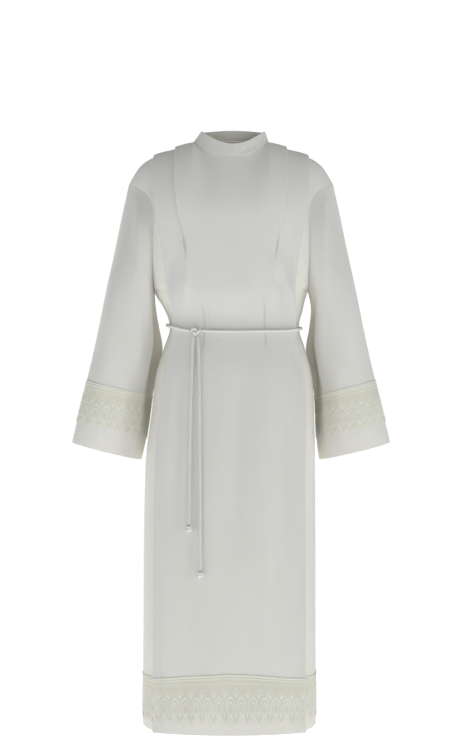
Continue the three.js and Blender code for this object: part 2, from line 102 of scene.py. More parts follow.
def grid_mesh(name, points, loops=False, marks=None):
    """A mesh of quads through a grid of points. loops joins the last column to the first."""
    rows, columns = points.shape[:2]
    across = distances_along(points, 1)
    down = distances_along(points, 0).mean(axis=1)
    index = np.arange(rows * columns).reshape(rows, columns)
    right = np.roll(index, -1, axis=1) if loops else index[:, 1:]
    left = index if loops else index[:, :-1]
    quads = np.stack([left[:-1], left[1:], right[1:], right[:-1]], axis=-1).reshape(-1, 4)
    mesh = bpy.data.meshes.new(name)
    mesh.from_pydata(points.reshape(-1, 3).tolist(), [], quads.tolist())
    closing = across[:, -1:] + np.linalg.norm(points[:, :1] - points[:, -1:], axis=-1)
    uv = mesh.uv_layers.new(name="cloth_metres")
    width = np.concatenate([across, closing], axis=1)
    corner_column = quads % columns
    corner_row = quads // columns
    wraps = (corner_column == 0) & (corner_column.max(axis=1, keepdims=True) == columns - 1)
    corner_column = np.where(wraps & loops, columns, corner_column)
    flat = np.stack([width[corner_row, corner_column], -down[corner_row]], axis=-1)
    uv.data.foreach_set("uv", flat.reshape(-1).astype(np.float32))
    for mark, values in (marks or {}).items():
        layer = mesh.attributes.new(mark, "FLOAT", "POINT")
        spread = np.broadcast_to(values, (rows, columns)).reshape(-1)
        layer.data.foreach_set("value", spread.astype(np.float32))
    piece = bpy.data.objects.new(name, mesh)
    bpy.context.scene.collection.objects.link(piece)
    return piece


def grid_normals(points, loops=False):
    """Unit directions square to a grid, pointing to the left of down-then-right."""
    if loops:
        across = np.roll(points, -1, axis=1) - np.roll(points, 1, axis=1)
    else:
        across = np.gradient(points, axis=1)
    down = np.gradient(points, axis=0)
    normal = np.cross(down, across)
    return normal / np.maximum(np.linalg.norm(normal, axis=-1, keepdims=True), 1e-12)


def facing_out(points, normal, weights=(1, 1, 1)):
    """The same directions, all turned round if on the whole they point inwards."""
    from_middle = points - points.mean(axis=(0, 1))
    toward = (from_middle * normal * np.array(weights)).sum(axis=-1).mean()
    return -normal if toward < 0 else normal


def thicken(piece, thickness, inner_material=False):
    """Gives a sheet its thickness, half to each side, as Solidify does by hand."""
    solidify = piece.modifiers.new("thickness", "SOLIDIFY")
    solidify.thickness = thickness
    solidify.offset = 0
    solidify.use_even_offset = False
    solidify.use_rim = True
    solidify.material_offset = 1 if inner_material else 0
    select_only(piece)
    bpy.ops.object.modifier_apply(modifier=solidify.name)
    bpy.ops.object.shade_smooth_by_angle(angle=SMOOTH_UNDER)
    print(piece.name, len(piece.data.polygons), "faces")
    return piece


print("pieces are smooth where faces meet under", round(math.degrees(SMOOTH_UNDER)), "degrees")


# %% [markdown]
# The cincture is one rope: round the waist, tied in front, and with two ends that hang. Its
# route is fixed first, because a cord that lies outside the body's box would change the frame.
# Each route is a short list of places, joined by a smooth curve.

# %% Rope routes
ROPE_RADIUS = 0.0038
ROPE_STEP = 0.0024
WAIST_ROUTE = [
    (-0.0686, -0.105, -0.459), (-0.02, -0.11, -0.46), (0.04, -0.1095, -0.46),
    (0.095, -0.1025, -0.459), (0.128, -0.0945, -0.458), (0.1505, -0.087, -0.456),
    (0.16, -0.0785, -0.455), (0.164, -0.06, -0.454), (0.166, -0.029, -0.452),
    (0.168, 0.002, -0.45), (0.1645, 0.03, -0.449), (0.16, 0.056, -0.449),
    (0.159, 0.077, -0.449), (0.138, 0.086, -0.449), (0.112, 0.092, -0.45),
    (0.083, 0.0975, -0.45), (0.038, 0.1015, -0.451), (0.008, 0.1025, -0.451),
    (-0.036, 0.1005, -0.451), (-0.065, 0.0975, -0.45), (-0.094, 0.0915, -0.449),
    (-0.122, 0.087, -0.448), (-0.1425, 0.077, -0.447), (-0.145, 0.056, -0.446),
    (-0.1495, 0.03, -0.444), (-0.153, 0.002, -0.443), (-0.1505, -0.028, -0.443),
    (-0.1475, -0.058, -0.445), (-0.1435, -0.079, -0.448), (-0.135, -0.087, -0.45),
    (-0.11, -0.095, -0.456), (-0.0955, -0.099, -0.458),
]
LONG_END = [
    (-0.077, -0.1055, -0.4712), (-0.075, -0.1108, -0.5), (-0.0735, -0.1173, -0.545),
    (-0.0725, -0.124, -0.6), (-0.072, -0.1318, -0.7), (-0.071, -0.1368, -0.81),
    (-0.0705, -0.1413, -0.905), (-0.07, -0.147, -1.01),
]
SHORT_END = [
    (-0.087, -0.1045, -0.4712), (-0.0885, -0.108, -0.5), (-0.09, -0.1148, -0.55),
    (-0.0915, -0.1202, -0.6), (-0.094, -0.1282, -0.7), (-0.095, -0.1333, -0.805),
    (-0.096, -0.1395, -0.905),
]
KNOT_CENTRE = (-0.082, -0.1065, -0.46)
KNOT_SIZE = (0.026, 0.017, 0.021)
END_KNOT = {"radius": 0.007, "height": 0.02, "out": 0.0025, "gap": 0.0003}


def smooth_curve(places, spacing):
    """Points a spacing apart on a centripetal Catmull-Rom curve through the places."""
    places = np.array(places, float)
    before = 2 * places[0] - places[1]
    after = 2 * places[-1] - places[-2]
    chain = np.vstack([before, places, after])
    points = []
    for p0, p1, p2, p3 in zip(chain, chain[1:], chain[2:], chain[3:]):
        gap0, gap1, gap2 = [math.sqrt(np.linalg.norm(b - a)) for a, b in ((p0, p1), (p1, p2), (p2, p3))]
        leave = ((p1 - p0) / gap0 - (p2 - p0) / (gap0 + gap1) + (p2 - p1) / gap1) * gap1
        arrive = ((p2 - p1) / gap1 - (p3 - p1) / (gap1 + gap2) + (p3 - p2) / gap2) * gap1
        t = np.linspace(0, 1, 60, endpoint=False)[:, None]
        start = (2 * t**3 - 3 * t**2 + 1) * p1 + (t**3 - 2 * t**2 + t) * leave
        points.append(start + (3 * t**2 - 2 * t**3) * p2 + (t**3 - t**2) * arrive)
    points = np.vstack(points + [places[-1:]])
    along = np.concatenate([[0], np.cumsum(np.linalg.norm(np.diff(points, axis=0), axis=1))])
    stations = np.linspace(0, along[-1], max(int(round(along[-1] / spacing)), 4) + 1)
    return np.stack([np.interp(stations, along, points[:, k]) for k in range(3)], axis=1)


def curve_length(points):
    return float(np.linalg.norm(np.diff(points, axis=0), axis=1).sum())


print("rope routes of", len(WAIST_ROUTE), len(LONG_END), "and", len(SHORT_END), "places")


# %% [markdown]
# Real cincture cord is three strands laid round each other. A tube whose section has three
# lobes, turned a little further at each step, gives the same twist with one clean mesh. The
# section is carried along the route without spinning, so only the lay makes it turn.

# %% Twisted rope
LAY_LENGTH = 0.021
STRANDS = 3
SECTION_POINTS = 24
LOBE = {"depth": 0.16, "sharpness": 0.75}
CUT_END = 0.72
SIDE_GUIDE = (0.31, 0.12, 0.94)


def carried_frames(points):
    """Two directions square to a path at each point, carried along it without spinning."""
    tangents = np.gradient(points, axis=0)
    tangents /= np.linalg.norm(tangents, axis=1, keepdims=True)
    side = np.cross(tangents[0], SIDE_GUIDE)
    sides = []
    for tangent in tangents:
        side = side - tangent * side.dot(tangent)
        side = side / np.linalg.norm(side)
        sides.append(side)
    sides = np.array(sides)
    return sides, np.cross(tangents, sides)


def rope_mesh(name, path, radius=ROPE_RADIUS):
    """A twisted rope along a path, a little narrower at its cut ends."""
    sides, ups = carried_frames(path)
    along = np.concatenate([[0], np.cumsum(np.linalg.norm(np.diff(path, axis=0), axis=1))])
    angle = np.linspace(0, 2 * np.pi, SECTION_POINTS, endpoint=False)
    lobes = 1 - LOBE["depth"] * (1 - np.abs(np.cos(STRANDS * angle / 2)) ** LOBE["sharpness"])
    turn = 2 * np.pi * along / LAY_LENGTH
    size = np.ones(len(path))
    size[[0, -1]] = CUT_END
    spun = angle[None, :] + turn[:, None]
    reach = (radius * lobes)[None, :, None] * size[:, None, None]
    ring = np.cos(spun)[..., None] * sides[:, None] + np.sin(spun)[..., None] * ups[:, None]
    points = path[:, None] + reach * ring
    piece = grid_mesh(name, points, loops=True)
    select_only(piece)
    bpy.ops.object.mode_set(mode="EDIT")
    bpy.ops.mesh.select_mode(type="EDGE")
    bpy.ops.mesh.select_all(action="DESELECT")
    bpy.ops.mesh.select_non_manifold()
    bpy.ops.mesh.edge_face_add()
    bpy.ops.mesh.select_all(action="SELECT")
    bpy.ops.mesh.normals_make_consistent(inside=False)
    bpy.ops.object.mode_set(mode="OBJECT")
    bpy.ops.object.shade_smooth_by_angle(angle=SMOOTH_UNDER)
    print(name, "length", round(curve_length(path), 4), "m,", len(piece.data.polygons), "faces")
    return piece


waist_path = smooth_curve(WAIST_ROUTE, ROPE_STEP)
long_path = smooth_curve(LONG_END, ROPE_STEP)
short_path = smooth_curve(SHORT_END, ROPE_STEP)
waist_rope = rope_mesh("cincture_waist_rope", waist_path)
long_rope = rope_mesh("cincture_long_rope", long_path)
short_rope = rope_mesh("cincture_short_rope", short_path)

# %% [markdown]
# The knot at the waist is a single overhand knot. A trefoil is the closed form of that knot,
# so the same rope is run round a trefoil that fills the knot's solid. Each hanging end is
# finished with a few tight turns of its own rope, which a small helix gives.

# %% Knots
KNOT_ROPE = 0.0028
END_ROPE = 0.0031
END_TURNS = 2.6
TREFOIL_REACH = (2.95, 3.0)


def knot_path():
    t = np.linspace(0, 2 * np.pi, 150, endpoint=False)
    half = [size / 2 - KNOT_ROPE for size in KNOT_SIZE]
    x = (np.sin(t) + 2 * np.sin(2 * t)) / TREFOIL_REACH[0] * half[0]
    z = (np.cos(t) - 2 * np.cos(2 * t)) / TREFOIL_REACH[1] * half[2]
    y = -np.sin(3 * t) * half[1]
    return np.stack([x, y, z], axis=1) + np.array(KNOT_CENTRE)


def end_knot_path(end):
    t = np.linspace(0, 1, 110)
    ring = END_KNOT["radius"] - END_ROPE
    top = end[2] - END_KNOT["gap"] - END_ROPE
    bottom = top - (END_KNOT["height"] - 2 * END_ROPE)
    angle = 2 * np.pi * END_TURNS * t
    x = end[0] + ring * np.cos(angle)
    y = end[1] - END_KNOT["out"] + ring * np.sin(angle)
    return np.stack([x, y, top + (bottom - top) * t], axis=1)


waist_knot = rope_mesh("cincture_waist_knot", knot_path(), KNOT_ROPE)
long_knot = rope_mesh("cincture_long_end_knot", end_knot_path(LONG_END[-1]), END_ROPE)
short_knot = rope_mesh("cincture_short_end_knot", end_knot_path(SHORT_END[-1]), END_ROPE)
print("three knots tied, the one at the waist at", KNOT_CENTRE)

# %% [markdown]
# The garment's cut is held in short tables: a row for each level, with named columns. A smooth
# curve runs through each column, so the surface can be sampled as finely as its creases need
# and still pass through the sections of the frame's solids.

# %% The garment's cut
CLOTH = 0.0012
SEAM_GAP = 0.0003
LACE = 0.0009
LACE_LIFT = 0.0004
NECK = {
    "half_width": 0.09, "front": 0.075, "back": 0.062,
    "side_z": -0.005, "front_dip": 0.045, "back_rise": 0.013, "shift": 0,
}
COLLAR_TOP = {
    "half_width": 0.076, "front": 0.066, "back": 0.058,
    "side_z": 0.022, "front_dip": 0.039, "back_rise": 0.012, "shift": 0.005,
}
ARMHOLE = {
    "tip_x": 0.245, "tip_z": -0.107, "under_x": 0.184, "under_z": -0.358,
    "front": 0.072, "back": 0.08, "tip_pull": 12,
}
SHOULDER_LEVEL = -0.041
HEM_Z = -1.39
PLEAT = {"shoulder_turn": 0.0015, "hem_turn": 0.005, "tuck": 0.03, "open_spacing": 0.007}


def table(names, rows):
    return {name: np.array(column, float) for name, column in zip(names, zip(*rows))}


SHOULDER_LINE = table(("x", "z"), [
    (0, -0.005), (0.09, -0.005), (0.133, -0.015), (0.185, -0.029),
    (0.217, -0.05), (0.236, -0.078), (0.245, -0.095),
])
WIDTHS = table(("level", "edge_one", "edge_two", "side", "shift"), [
    (-0.041, 0.133, 0.185, 0.184, 0),
    (-0.135, 0.133, 0.184, 0.184, 0),
    (-0.2, 0.131, 0.175, 0.184, 0),
    (-0.285, 0.122, 0.159, 0.184, 0.002),
    (-0.358, 0.112, 0.151, 0.184, 0.004),
    (-0.4, 0.108, 0.147, 0.167, 0.007),
    (-0.448, 0.106, 0.144, 0.154, 0.008),
    (-0.5, 0.11, 0.152, 0.169, 0.008),
    (-0.56, 0.118, 0.164, 0.186, 0.007),
    (-0.64, 0.124, 0.172, 0.193, 0.005),
    (-0.79, 0.128, 0.176, 0.203, -0.002),
    (-1.39, 0.128, 0.178, 0.207, -0.004),
])
DEPTHS = table(("level", "front_middle", "front_edge", "back_middle", "back_edge"), [
    (-0.041, 0.116, 0.092, 0.108, 0.09),
    (-0.2, 0.122, 0.094, 0.118, 0.096),
    (-0.358, 0.118, 0.088, 0.11, 0.088),
    (-0.448, 0.104, 0.078, 0.096, 0.074),
    (-0.56, 0.12, 0.092, 0.118, 0.092),
    (-0.79, 0.134, 0.108, 0.136, 0.108),
    (-1.39, 0.155, 0.124, 0.156, 0.122),
])
PLEATS = table(("level", "inner", "outer", "open"), [
    (-0.041, 1, 1, 0),
    (-0.13, 1, 1, 0.03),
    (-0.2, 0.66, 1, 0.05),
    (-0.3, 0.2, 1, 0.1),
    (-0.4, 0, 1, 0.15),
    (-0.56, 0, 1, 0.4),
    (-0.79, 0, 1, 0.8),
    (-1.39, 0, 1, 1),
])
SAGS = table(("level", "sag"), [(-1.39, 0), (-1.371, 0.003), (-1.25, 0.02), (-0.95, 0), (0, 0)])
SLEEVE = table(
    ("section", "outer_x", "outer_y", "outer_z", "inner_x", "inner_y", "inner_z",
     "front", "back", "pull", "follow", "fold"), [
        (0, 0.245, 0, -0.107, 0.184, 0, -0.358, 0.072, 0.08, 1, 0, 0),
        (1, 0.252, 0, -0.14, 0.187, 0.002, -0.378, 0.082, 0.087, 0.6, 0.5, 0),
        (2, 0.263, 0, -0.19, 0.188, 0.008, -0.41, 0.09, 0.09, 0.3, 1, 0.004),
        (3, 0.279, -0.002, -0.27, 0.182, 0.028, -0.45, 0.096, 0.084, 0.1, 1, 0.012),
        (4, 0.298, -0.005, -0.36, 0.175, 0.048, -0.5, 0.098, 0.076, 0, 1, 0.016),
        (5, 0.32, -0.008, -0.468, 0.186, 0.05, -0.56, 0.094, 0.074, 0, 1, 0.013),
        (6, 0.344, -0.012, -0.574, 0.197, 0.042, -0.612, 0.084, 0.072, 0, 1, 0.007),
        (7, 0.368, -0.015, -0.675, 0.207, 0.03, -0.717, 0.076, 0.068, 0, 1, 0.004),
        (8, 0.379, -0.016, -0.722, 0.215, 0.024, -0.765, 0.072, 0.064, 0, 1, 0.003),
    ])


def read(columns, key, name, at):
    """A smooth curve through one column of a table, by cubic Hermite pieces."""
    keys, values = columns[key], columns[name]
    if keys[0] > keys[-1]:
        keys, values = keys[::-1], values[::-1]
    at = np.clip(np.asarray(at, float), keys[0], keys[-1])
    before = np.clip(np.arange(len(keys)) - 1, 0, None)
    after = np.clip(np.arange(len(keys)) + 1, None, len(keys) - 1)
    slopes = (values[after] - values[before]) / (keys[after] - keys[before])
    i = np.clip(np.searchsorted(keys, at) - 1, 0, len(keys) - 2)
    span = keys[i + 1] - keys[i]
    t = (at - keys[i]) / span
    start = (2 * t**3 - 3 * t**2 + 1) * values[i] + (t**3 - 2 * t**2 + t) * span * slopes[i]
    return start + (3 * t**2 - 2 * t**3) * values[i + 1] + (t**3 - t**2) * span * slopes[i + 1]


print("cut tables read; hem half-width", float(read(WIDTHS, "level", "side", HEM_Z)), "m")

# %% [markdown]
# A body panel is sampled in columns from its middle to the side seam: the neck or chest, the
# first knife pleat, the cloth between the pleats, the second pleat, and a quarter turn round
# to the side. Each pleat is two half circles joined by a flat tuck, as a pressed pleat lies.

# %% Columns and rows of a body panel
CHEST, BESIDE, PLEAT_ONE, BETWEEN, PLEAT_TWO, SIDE = range(6)
PLEAT_SHARES = np.concatenate([
    np.linspace(0, 2, 7)[:-1], np.linspace(2, 3, 6)[:-1], np.linspace(3, 5, 7),
])
EVEN_BELOW = {"level": -0.08, "within": 0.14}


def half_columns(chest, beside, between, side):
    """Kind and share of each column of half a panel, from the middle to the side seam."""
    runs = [
        (CHEST, np.linspace(0, 1, chest)),
        (BESIDE, np.linspace(0, 1, beside + 2)[1:-1]),
        (PLEAT_ONE, PLEAT_SHARES),
        (BETWEEN, np.linspace(0, 1, between + 2)[1:-1]),
        (PLEAT_TWO, PLEAT_SHARES),
        (SIDE, np.linspace(0, 1, side + 1)[1:]),
    ]
    kinds = np.concatenate([np.full(len(shares), kind) for kind, shares in runs])
    return kinds, np.concatenate([shares for kind, shares in runs])


def body_rows(over_shoulder, below_levels):
    """Angle round the armhole and level of each row. Rows below the underarm lie level."""
    angles = np.linspace(0, np.pi, over_shoulder + 1)
    drop = (1 - np.cos(angles)) / 2
    levels = SHOULDER_LEVEL + drop * (ARMHOLE["under_z"] - SHOULDER_LEVEL)
    angle = np.concatenate([angles, np.full(len(below_levels), np.pi)])
    return angle[:, None], np.concatenate([levels, below_levels])[:, None]


def pleat_place(share, edge, closed, turn, above):
    """Place across and depth under the top layer of points round a knife pleat."""
    first = np.pi * np.clip(share, 0, 2) / 2
    second = np.pi * np.clip(share - 3, 0, 2) / 2
    tucked = np.clip(share - 2, 0, 1)
    x_first = edge - turn + turn * np.sin(first)
    x_tuck = edge - turn + (2 * turn - PLEAT["tuck"]) * tucked
    x_second = edge - PLEAT["tuck"] + turn - turn * np.sin(second)
    shut = np.where(share <= 2, x_first, np.where(share < 3, x_tuck, x_second))
    under = turn * (1 - np.cos(first)) + turn * (1 - np.cos(second)) * (share > 3)
    flat = edge + (share - 5) * PLEAT["open_spacing"]
    return flat + (shut - flat) * closed, above + under * closed


def across_half(level, kinds, shares):
    """Place across and depth under the top layer for each column of half a panel."""
    edge_one, edge_two = (read(WIDTHS, "level", name, level) for name in ("edge_one", "edge_two"))
    inner, outer, opened = (read(PLEATS, "level", name, level) for name in ("inner", "outer", "open"))
    small = PLEAT["shoulder_turn"]
    wide = small + (PLEAT["hem_turn"] - small) * opened
    neck_scale = edge_one / WIDTHS["edge_one"][0]
    below_neck = smooth_step((EVEN_BELOW["level"] - level) / EVEN_BELOW["within"])
    crowded = np.sin(np.pi / 2 * shares)
    neck_x = NECK["half_width"] * (crowded + (shares - crowded) * below_neck) * neck_scale
    neck_side = NECK["half_width"] * neck_scale
    one_start, _ = pleat_place(0.0, edge_one, inner, small, 0)
    one_end, above = pleat_place(5.0, edge_one, inner, small, 0)
    two_start, _ = pleat_place(0.0, edge_two, outer, wide, above)
    beside_x = neck_side + (one_start - neck_side) * shares
    one_x, one_under = pleat_place(shares[None, :], edge_one, inner, small, 0)
    between_x = one_end + (two_start - one_end) * shares
    two_x, two_under = pleat_place(shares[None, :], edge_two, outer, wide, above)
    zero = np.zeros_like(neck_x)
    choices_x = [neck_x, beside_x, one_x, between_x, two_x]
    choices_under = [zero, zero, one_under, zero + above, two_under]
    stretches = (CHEST, BESIDE, PLEAT_ONE, BETWEEN, PLEAT_TWO)
    picks = [np.broadcast_to(kinds == kind, neck_x.shape) for kind in stretches]
    return np.select(picks, choices_x, 0.0), np.select(picks, choices_under, 0.0)


print("each knife pleat has", len(PLEAT_SHARES), "columns")


# %% [markdown]
# From a column's place across and its depth under the top layer, one function gives the point
# on the worn garment: it runs over the shoulder from the neck seam, hangs down the chest, is
# drawn in at the waist and widens to the hem. The quarter turn at the side ends on the armhole
# above the underarm and on the side seam below it.

# %% Points of a body panel
ROUNDNESS = 2.2
SAG_POWER = 1.5
STACK_LEAN = 0.35
SHIFT_STARTS_WITHIN = 0.06


def hanging_points(x, under, angle, level, face):
    across = np.clip(np.abs(x) / NECK["half_width"], 0, 1)
    along_neck = np.sqrt(1 - across**2)
    rise = -NECK["front_dip"] if face == FRONT else NECK["back_rise"]
    neck_z = NECK["side_z"] + along_neck**2 * rise
    top_z = np.where(across < 1, neck_z, read(SHOULDER_LINE, "x", "z", np.abs(x)))
    top_y = along_neck * (NECK["front"] if face == FRONT else NECK["back"])
    name = "front" if face == FRONT else "back"
    middle = read(DEPTHS, "level", name + "_middle", level)
    edge = read(DEPTHS, "level", name + "_edge", level)
    outness = np.clip(np.abs(x) / read(WIDTHS, "level", "edge_two", level), 0, 1)
    full = middle - (middle - edge) * outness**ROUNDNESS
    over = np.where(angle < np.pi / 2, np.sin(angle), 1)
    soft_neck = (1 - across**2) ** (0.5 + 1.5 * over)
    top_y = top_y + (soft_neck - along_neck) * (NECK["front"] if face == FRONT else NECK["back"])
    y = top_y + (full - top_y) * (over + (over**2 - over) * soft_neck) - under * over
    lie = np.sqrt(np.clip(1 - over**2, 0, None))
    drop = (1 - np.cos(angle)) / 2
    upper = level >= ARMHOLE["under_z"]
    sideways = np.clip(np.abs(x) / read(WIDTHS, "level", "side", level), 0, 1)
    sag = np.interp(level, SAGS["level"], SAGS["sag"])
    z = np.where(upper, top_z + drop * (ARMHOLE["under_z"] - top_z), level - sag * sideways**SAG_POWER)
    return np.stack(np.broadcast_arrays(x, face * y, z - under * lie), axis=-1), over, lie


def side_points(start, share, angle, level, face):
    turn = np.pi / 2 * share
    side = read(WIDTHS, "level", "side", level)
    from_x, from_y, from_z = (start[..., k] for k in range(3))
    sag = np.interp(level, SAGS["level"], SAGS["sag"])
    low_x = from_x + (side - from_x) * np.sin(turn)
    low = [low_x, from_y * np.cos(turn), level - sag * np.clip(low_x / side, 0, 1) ** SAG_POWER]
    height = (1 + np.cos(angle)) / 2
    end_x = ARMHOLE["under_x"] + (ARMHOLE["tip_x"] - ARMHOLE["under_x"]) * height ** ARMHOLE["tip_pull"]
    end_y = face * np.sin(angle) * (ARMHOLE["front"] if face == FRONT else ARMHOLE["back"])
    drop = (1 - np.cos(angle)) / 2
    end_z = ARMHOLE["tip_z"] + drop * (ARMHOLE["under_z"] - ARMHOLE["tip_z"])
    seam_x = from_x + (ARMHOLE["tip_x"] - from_x) * np.sin(turn)
    seam_z, start_z, tip_z = (
        read(SHOULDER_LINE, "x", "z", x) for x in (seam_x, from_x, ARMHOLE["tip_x"])
    )
    fall = (seam_z - start_z) / (tip_z - start_z)
    high = [from_x + (end_x - from_x) * np.sin(turn), end_y + (from_y - end_y) * np.cos(turn),
            from_z + (end_z - from_z) * fall]
    upper = level >= ARMHOLE["under_z"]
    return np.stack([np.where(upper, a, b) for a, b in zip(high, low)], axis=-1)


def panel_half(face, kinds, shares, angle, level):
    """Points of half a panel, and the directions in which its layers are stacked."""
    x, under = across_half(level, kinds, shares)
    points, over, lie = hanging_points(x, under, angle, level, face)
    edge_x = read(WIDTHS, "level", "edge_two", level)
    sideways_lean = STACK_LEAN * np.clip(x / edge_x, 0, 1) ** 1.5
    stacked = np.stack(np.broadcast_arrays(sideways_lean, face * over, lie), axis=-1)
    last = int(np.flatnonzero(kinds == PLEAT_TWO)[-1])
    on_side = kinds == SIDE
    share = shares[on_side][None, :]
    points[:, on_side] = side_points(points[:, last : last + 1], share, angle, level, face)
    turn = np.pi / 2 * share
    sideways = np.array([1.0, 0, 0])
    leaving = stacked[:, last : last + 1] * np.cos(turn)[..., None]
    stacked[:, on_side] = leaving + sideways * np.sin(turn)[..., None]
    return points, stacked / np.linalg.norm(stacked, axis=-1, keepdims=True)


def whole_panel(face, kinds, shares, angle, level):
    """Both halves of a panel from -X to +X, with their stacking directions."""
    points, stacked = panel_half(face, kinds, shares, angle, level)
    flip = np.array([-1.0, 1, 1])
    points = np.concatenate([points[:, :0:-1] * flip, points], axis=1)
    stacked = np.concatenate([stacked[:, :0:-1] * flip, stacked], axis=1)
    below = smooth_step((ARMHOLE["under_z"] - level) / SHIFT_STARTS_WITHIN)
    points[..., 0] += read(WIDTHS, "level", "shift", level) * below
    points[..., 1] += face * SEAM_GAP / 2
    return points, stacked


def mirrored(kinds, shares):
    return np.concatenate([kinds[:0:-1], kinds]), np.concatenate([shares[:0:-1], shares])


print("panels meet at the sides with a gap of", SEAM_GAP * 1000, "mm")


# %% [markdown]
# Worn cloth has few creases here, because it is a firm cloth that hangs from pressed
# pleats. They are placed one by one: each crease has a path across and down, a half-width and
# a height, which is negative for a trough. All layers of a pleat move together, so a crease
# never pushes one layer through the next.

# %% Creases
CREASE_FADE = 0.4
FLAT_PAST_SIDE = 0.7
FLAT_AT_SEAM = {"level": SHOULDER_LEVEL - 0.02, "within": 0.06}
# Reach of the painted backlight mark: past the tuck edges, on the sides, and below the shoulders.
TUCK_SHADE = {"from": 1.2, "within": 0.8}
SIDE_SHADE = {"from": 1.15, "slope": 1.3}
SHADE_BELOW = {"level": -0.13, "within": 0.1}


def crease(path, width, height):
    return {"path": np.array(path, float), "width": width, "height": height}


def crease_heights(x, z, creases):
    """Sum of the creases at each point. A crease fades out towards both of its ends."""
    total = np.zeros(np.broadcast(x, z).shape)
    for one in creases:
        path = one["path"]
        lengths = np.linalg.norm(np.diff(path, axis=0), axis=1)
        starts = np.concatenate([[0], np.cumsum(lengths)])
        nearest = np.full(total.shape, 1e9)
        place = np.zeros(total.shape)
        for k, length in enumerate(lengths):
            (ax, az), (bx, bz) = path[k], path[k + 1]
            t = ((x - ax) * (bx - ax) + (z - az) * (bz - az)) / length**2
            t = np.clip(t, 0, 1)
            distance = np.hypot(x - ax - t * (bx - ax), z - az - t * (bz - az))
            closer = distance < nearest
            nearest = np.where(closer, distance, nearest)
            place = np.where(closer, (starts[k] + t * length) / starts[-1], place)
        fade = smooth_step(place / CREASE_FADE) * smooth_step((1 - place) / CREASE_FADE)
        total += one["height"] * np.exp(-((nearest / one["width"]) ** 2)) * fade
    return total


FRONT_CREASES = [
    # below the inner pleats, where they open into soft folds
    crease([(-0.13, -0.18), (-0.127, -0.28), (-0.13, -0.36), (-0.122, -0.45)], 0.016, -0.0032),
    crease([(-0.112, -0.22), (-0.106, -0.32), (-0.1, -0.42)], 0.016, 0.0035),
    crease([(0.129, -0.19), (0.122, -0.29), (0.112, -0.4)], 0.015, -0.0032),
    crease([(0.108, -0.26), (0.1, -0.34), (0.094, -0.42)], 0.014, 0.003),
    # drawn towards the rope
    crease([(-0.1, -0.33), (-0.094, -0.41), (-0.084, -0.49)], 0.011, -0.0035),
    crease([(-0.064, -0.36), (-0.058, -0.44), (-0.062, -0.53)], 0.011, -0.0028),
    crease([(0.018, -0.37), (0.022, -0.45), (0.01, -0.56)], 0.018, -0.0028),
    crease([(0.06, -0.31), (0.072, -0.42), (0.064, -0.52)], 0.017, -0.0022),
    crease([(0.095, -0.3), (0.112, -0.36), (0.128, -0.42)], 0.009, -0.005),
    crease([(0.076, -0.27), (0.098, -0.34), (0.12, -0.4)], 0.012, 0.003),
    crease([(0.13, -0.22), (0.138, -0.3), (0.14, -0.38)], 0.008, -0.004),
    crease([(-0.142, -0.24), (-0.136, -0.31), (-0.14, -0.4)], 0.007, -0.003),
    # chest
    crease([(0.13, -0.26), (0.142, -0.32), (0.162, -0.39)], 0.011, -0.0036),
    crease([(0.116, -0.27), (0.13, -0.34), (0.148, -0.41)], 0.012, 0.003),
    crease([(-0.118, -0.25), (-0.132, -0.3), (-0.146, -0.36)], 0.012, -0.003),
    crease([(-0.104, -0.3), (-0.106, -0.38), (-0.1, -0.44)], 0.014, 0.003),
    crease([(-0.06, -0.1), (-0.068, -0.2), (-0.055, -0.32)], 0.03, 0.0022),
    crease([(0.03, -0.14), (0.022, -0.25), (0.035, -0.36)], 0.034, -0.002),
    # skirt: long uneven folds that start under the rope
    crease([(0.024, -0.47), (0.018, -0.62), (0.014, -0.82), (0.02, -1.02)], 0.02, -0.008),
    crease([(0.068, -0.47), (0.07, -0.66), (0.08, -0.9), (0.086, -1.2)], 0.026, 0.0075),
    crease([(0.112, -0.49), (0.12, -0.64), (0.126, -0.86), (0.122, -1.1)], 0.018, -0.0065),
    crease([(-0.105, -0.47), (-0.112, -0.62), (-0.12, -0.8), (-0.122, -0.98)], 0.013, -0.0045),
    crease([(-0.13, -0.52), (-0.142, -0.66), (-0.146, -0.84)], 0.011, 0.003),
    crease([(-0.035, -0.47), (-0.03, -0.7), (-0.04, -0.95), (-0.036, -1.2)], 0.026, 0.005),
    crease([(-0.072, -0.5), (-0.08, -0.72), (-0.084, -0.98), (-0.08, -1.24)], 0.018, -0.0035),
    crease([(0.05, -0.96), (0.044, -1.16), (0.05, -1.4)], 0.02, -0.004),
    crease([(-0.115, -1.12), (-0.108, -1.26), (-0.112, -1.4)], 0.014, -0.0038),
    crease([(-0.045, -1.16), (-0.05, -1.28), (-0.046, -1.4)], 0.018, 0.003),
    crease([(0.118, -1.16), (0.124, -1.28), (0.12, -1.4)], 0.018, 0.0035),
    crease([(0.0, -1.2), (0.004, -1.3), (-0.004, -1.4)], 0.015, -0.0028),
    crease([(-0.164, -1.15), (-0.161, -1.28), (-0.163, -1.41)], 0.009, -0.004),
    # short dents beside the rope's end on the hip
    crease([(0.148, -0.5), (0.157, -0.55), (0.162, -0.6)], 0.005, -0.004),
    crease([(0.136, -0.47), (0.143, -0.52), (0.143, -0.58)], 0.006, -0.003),
]
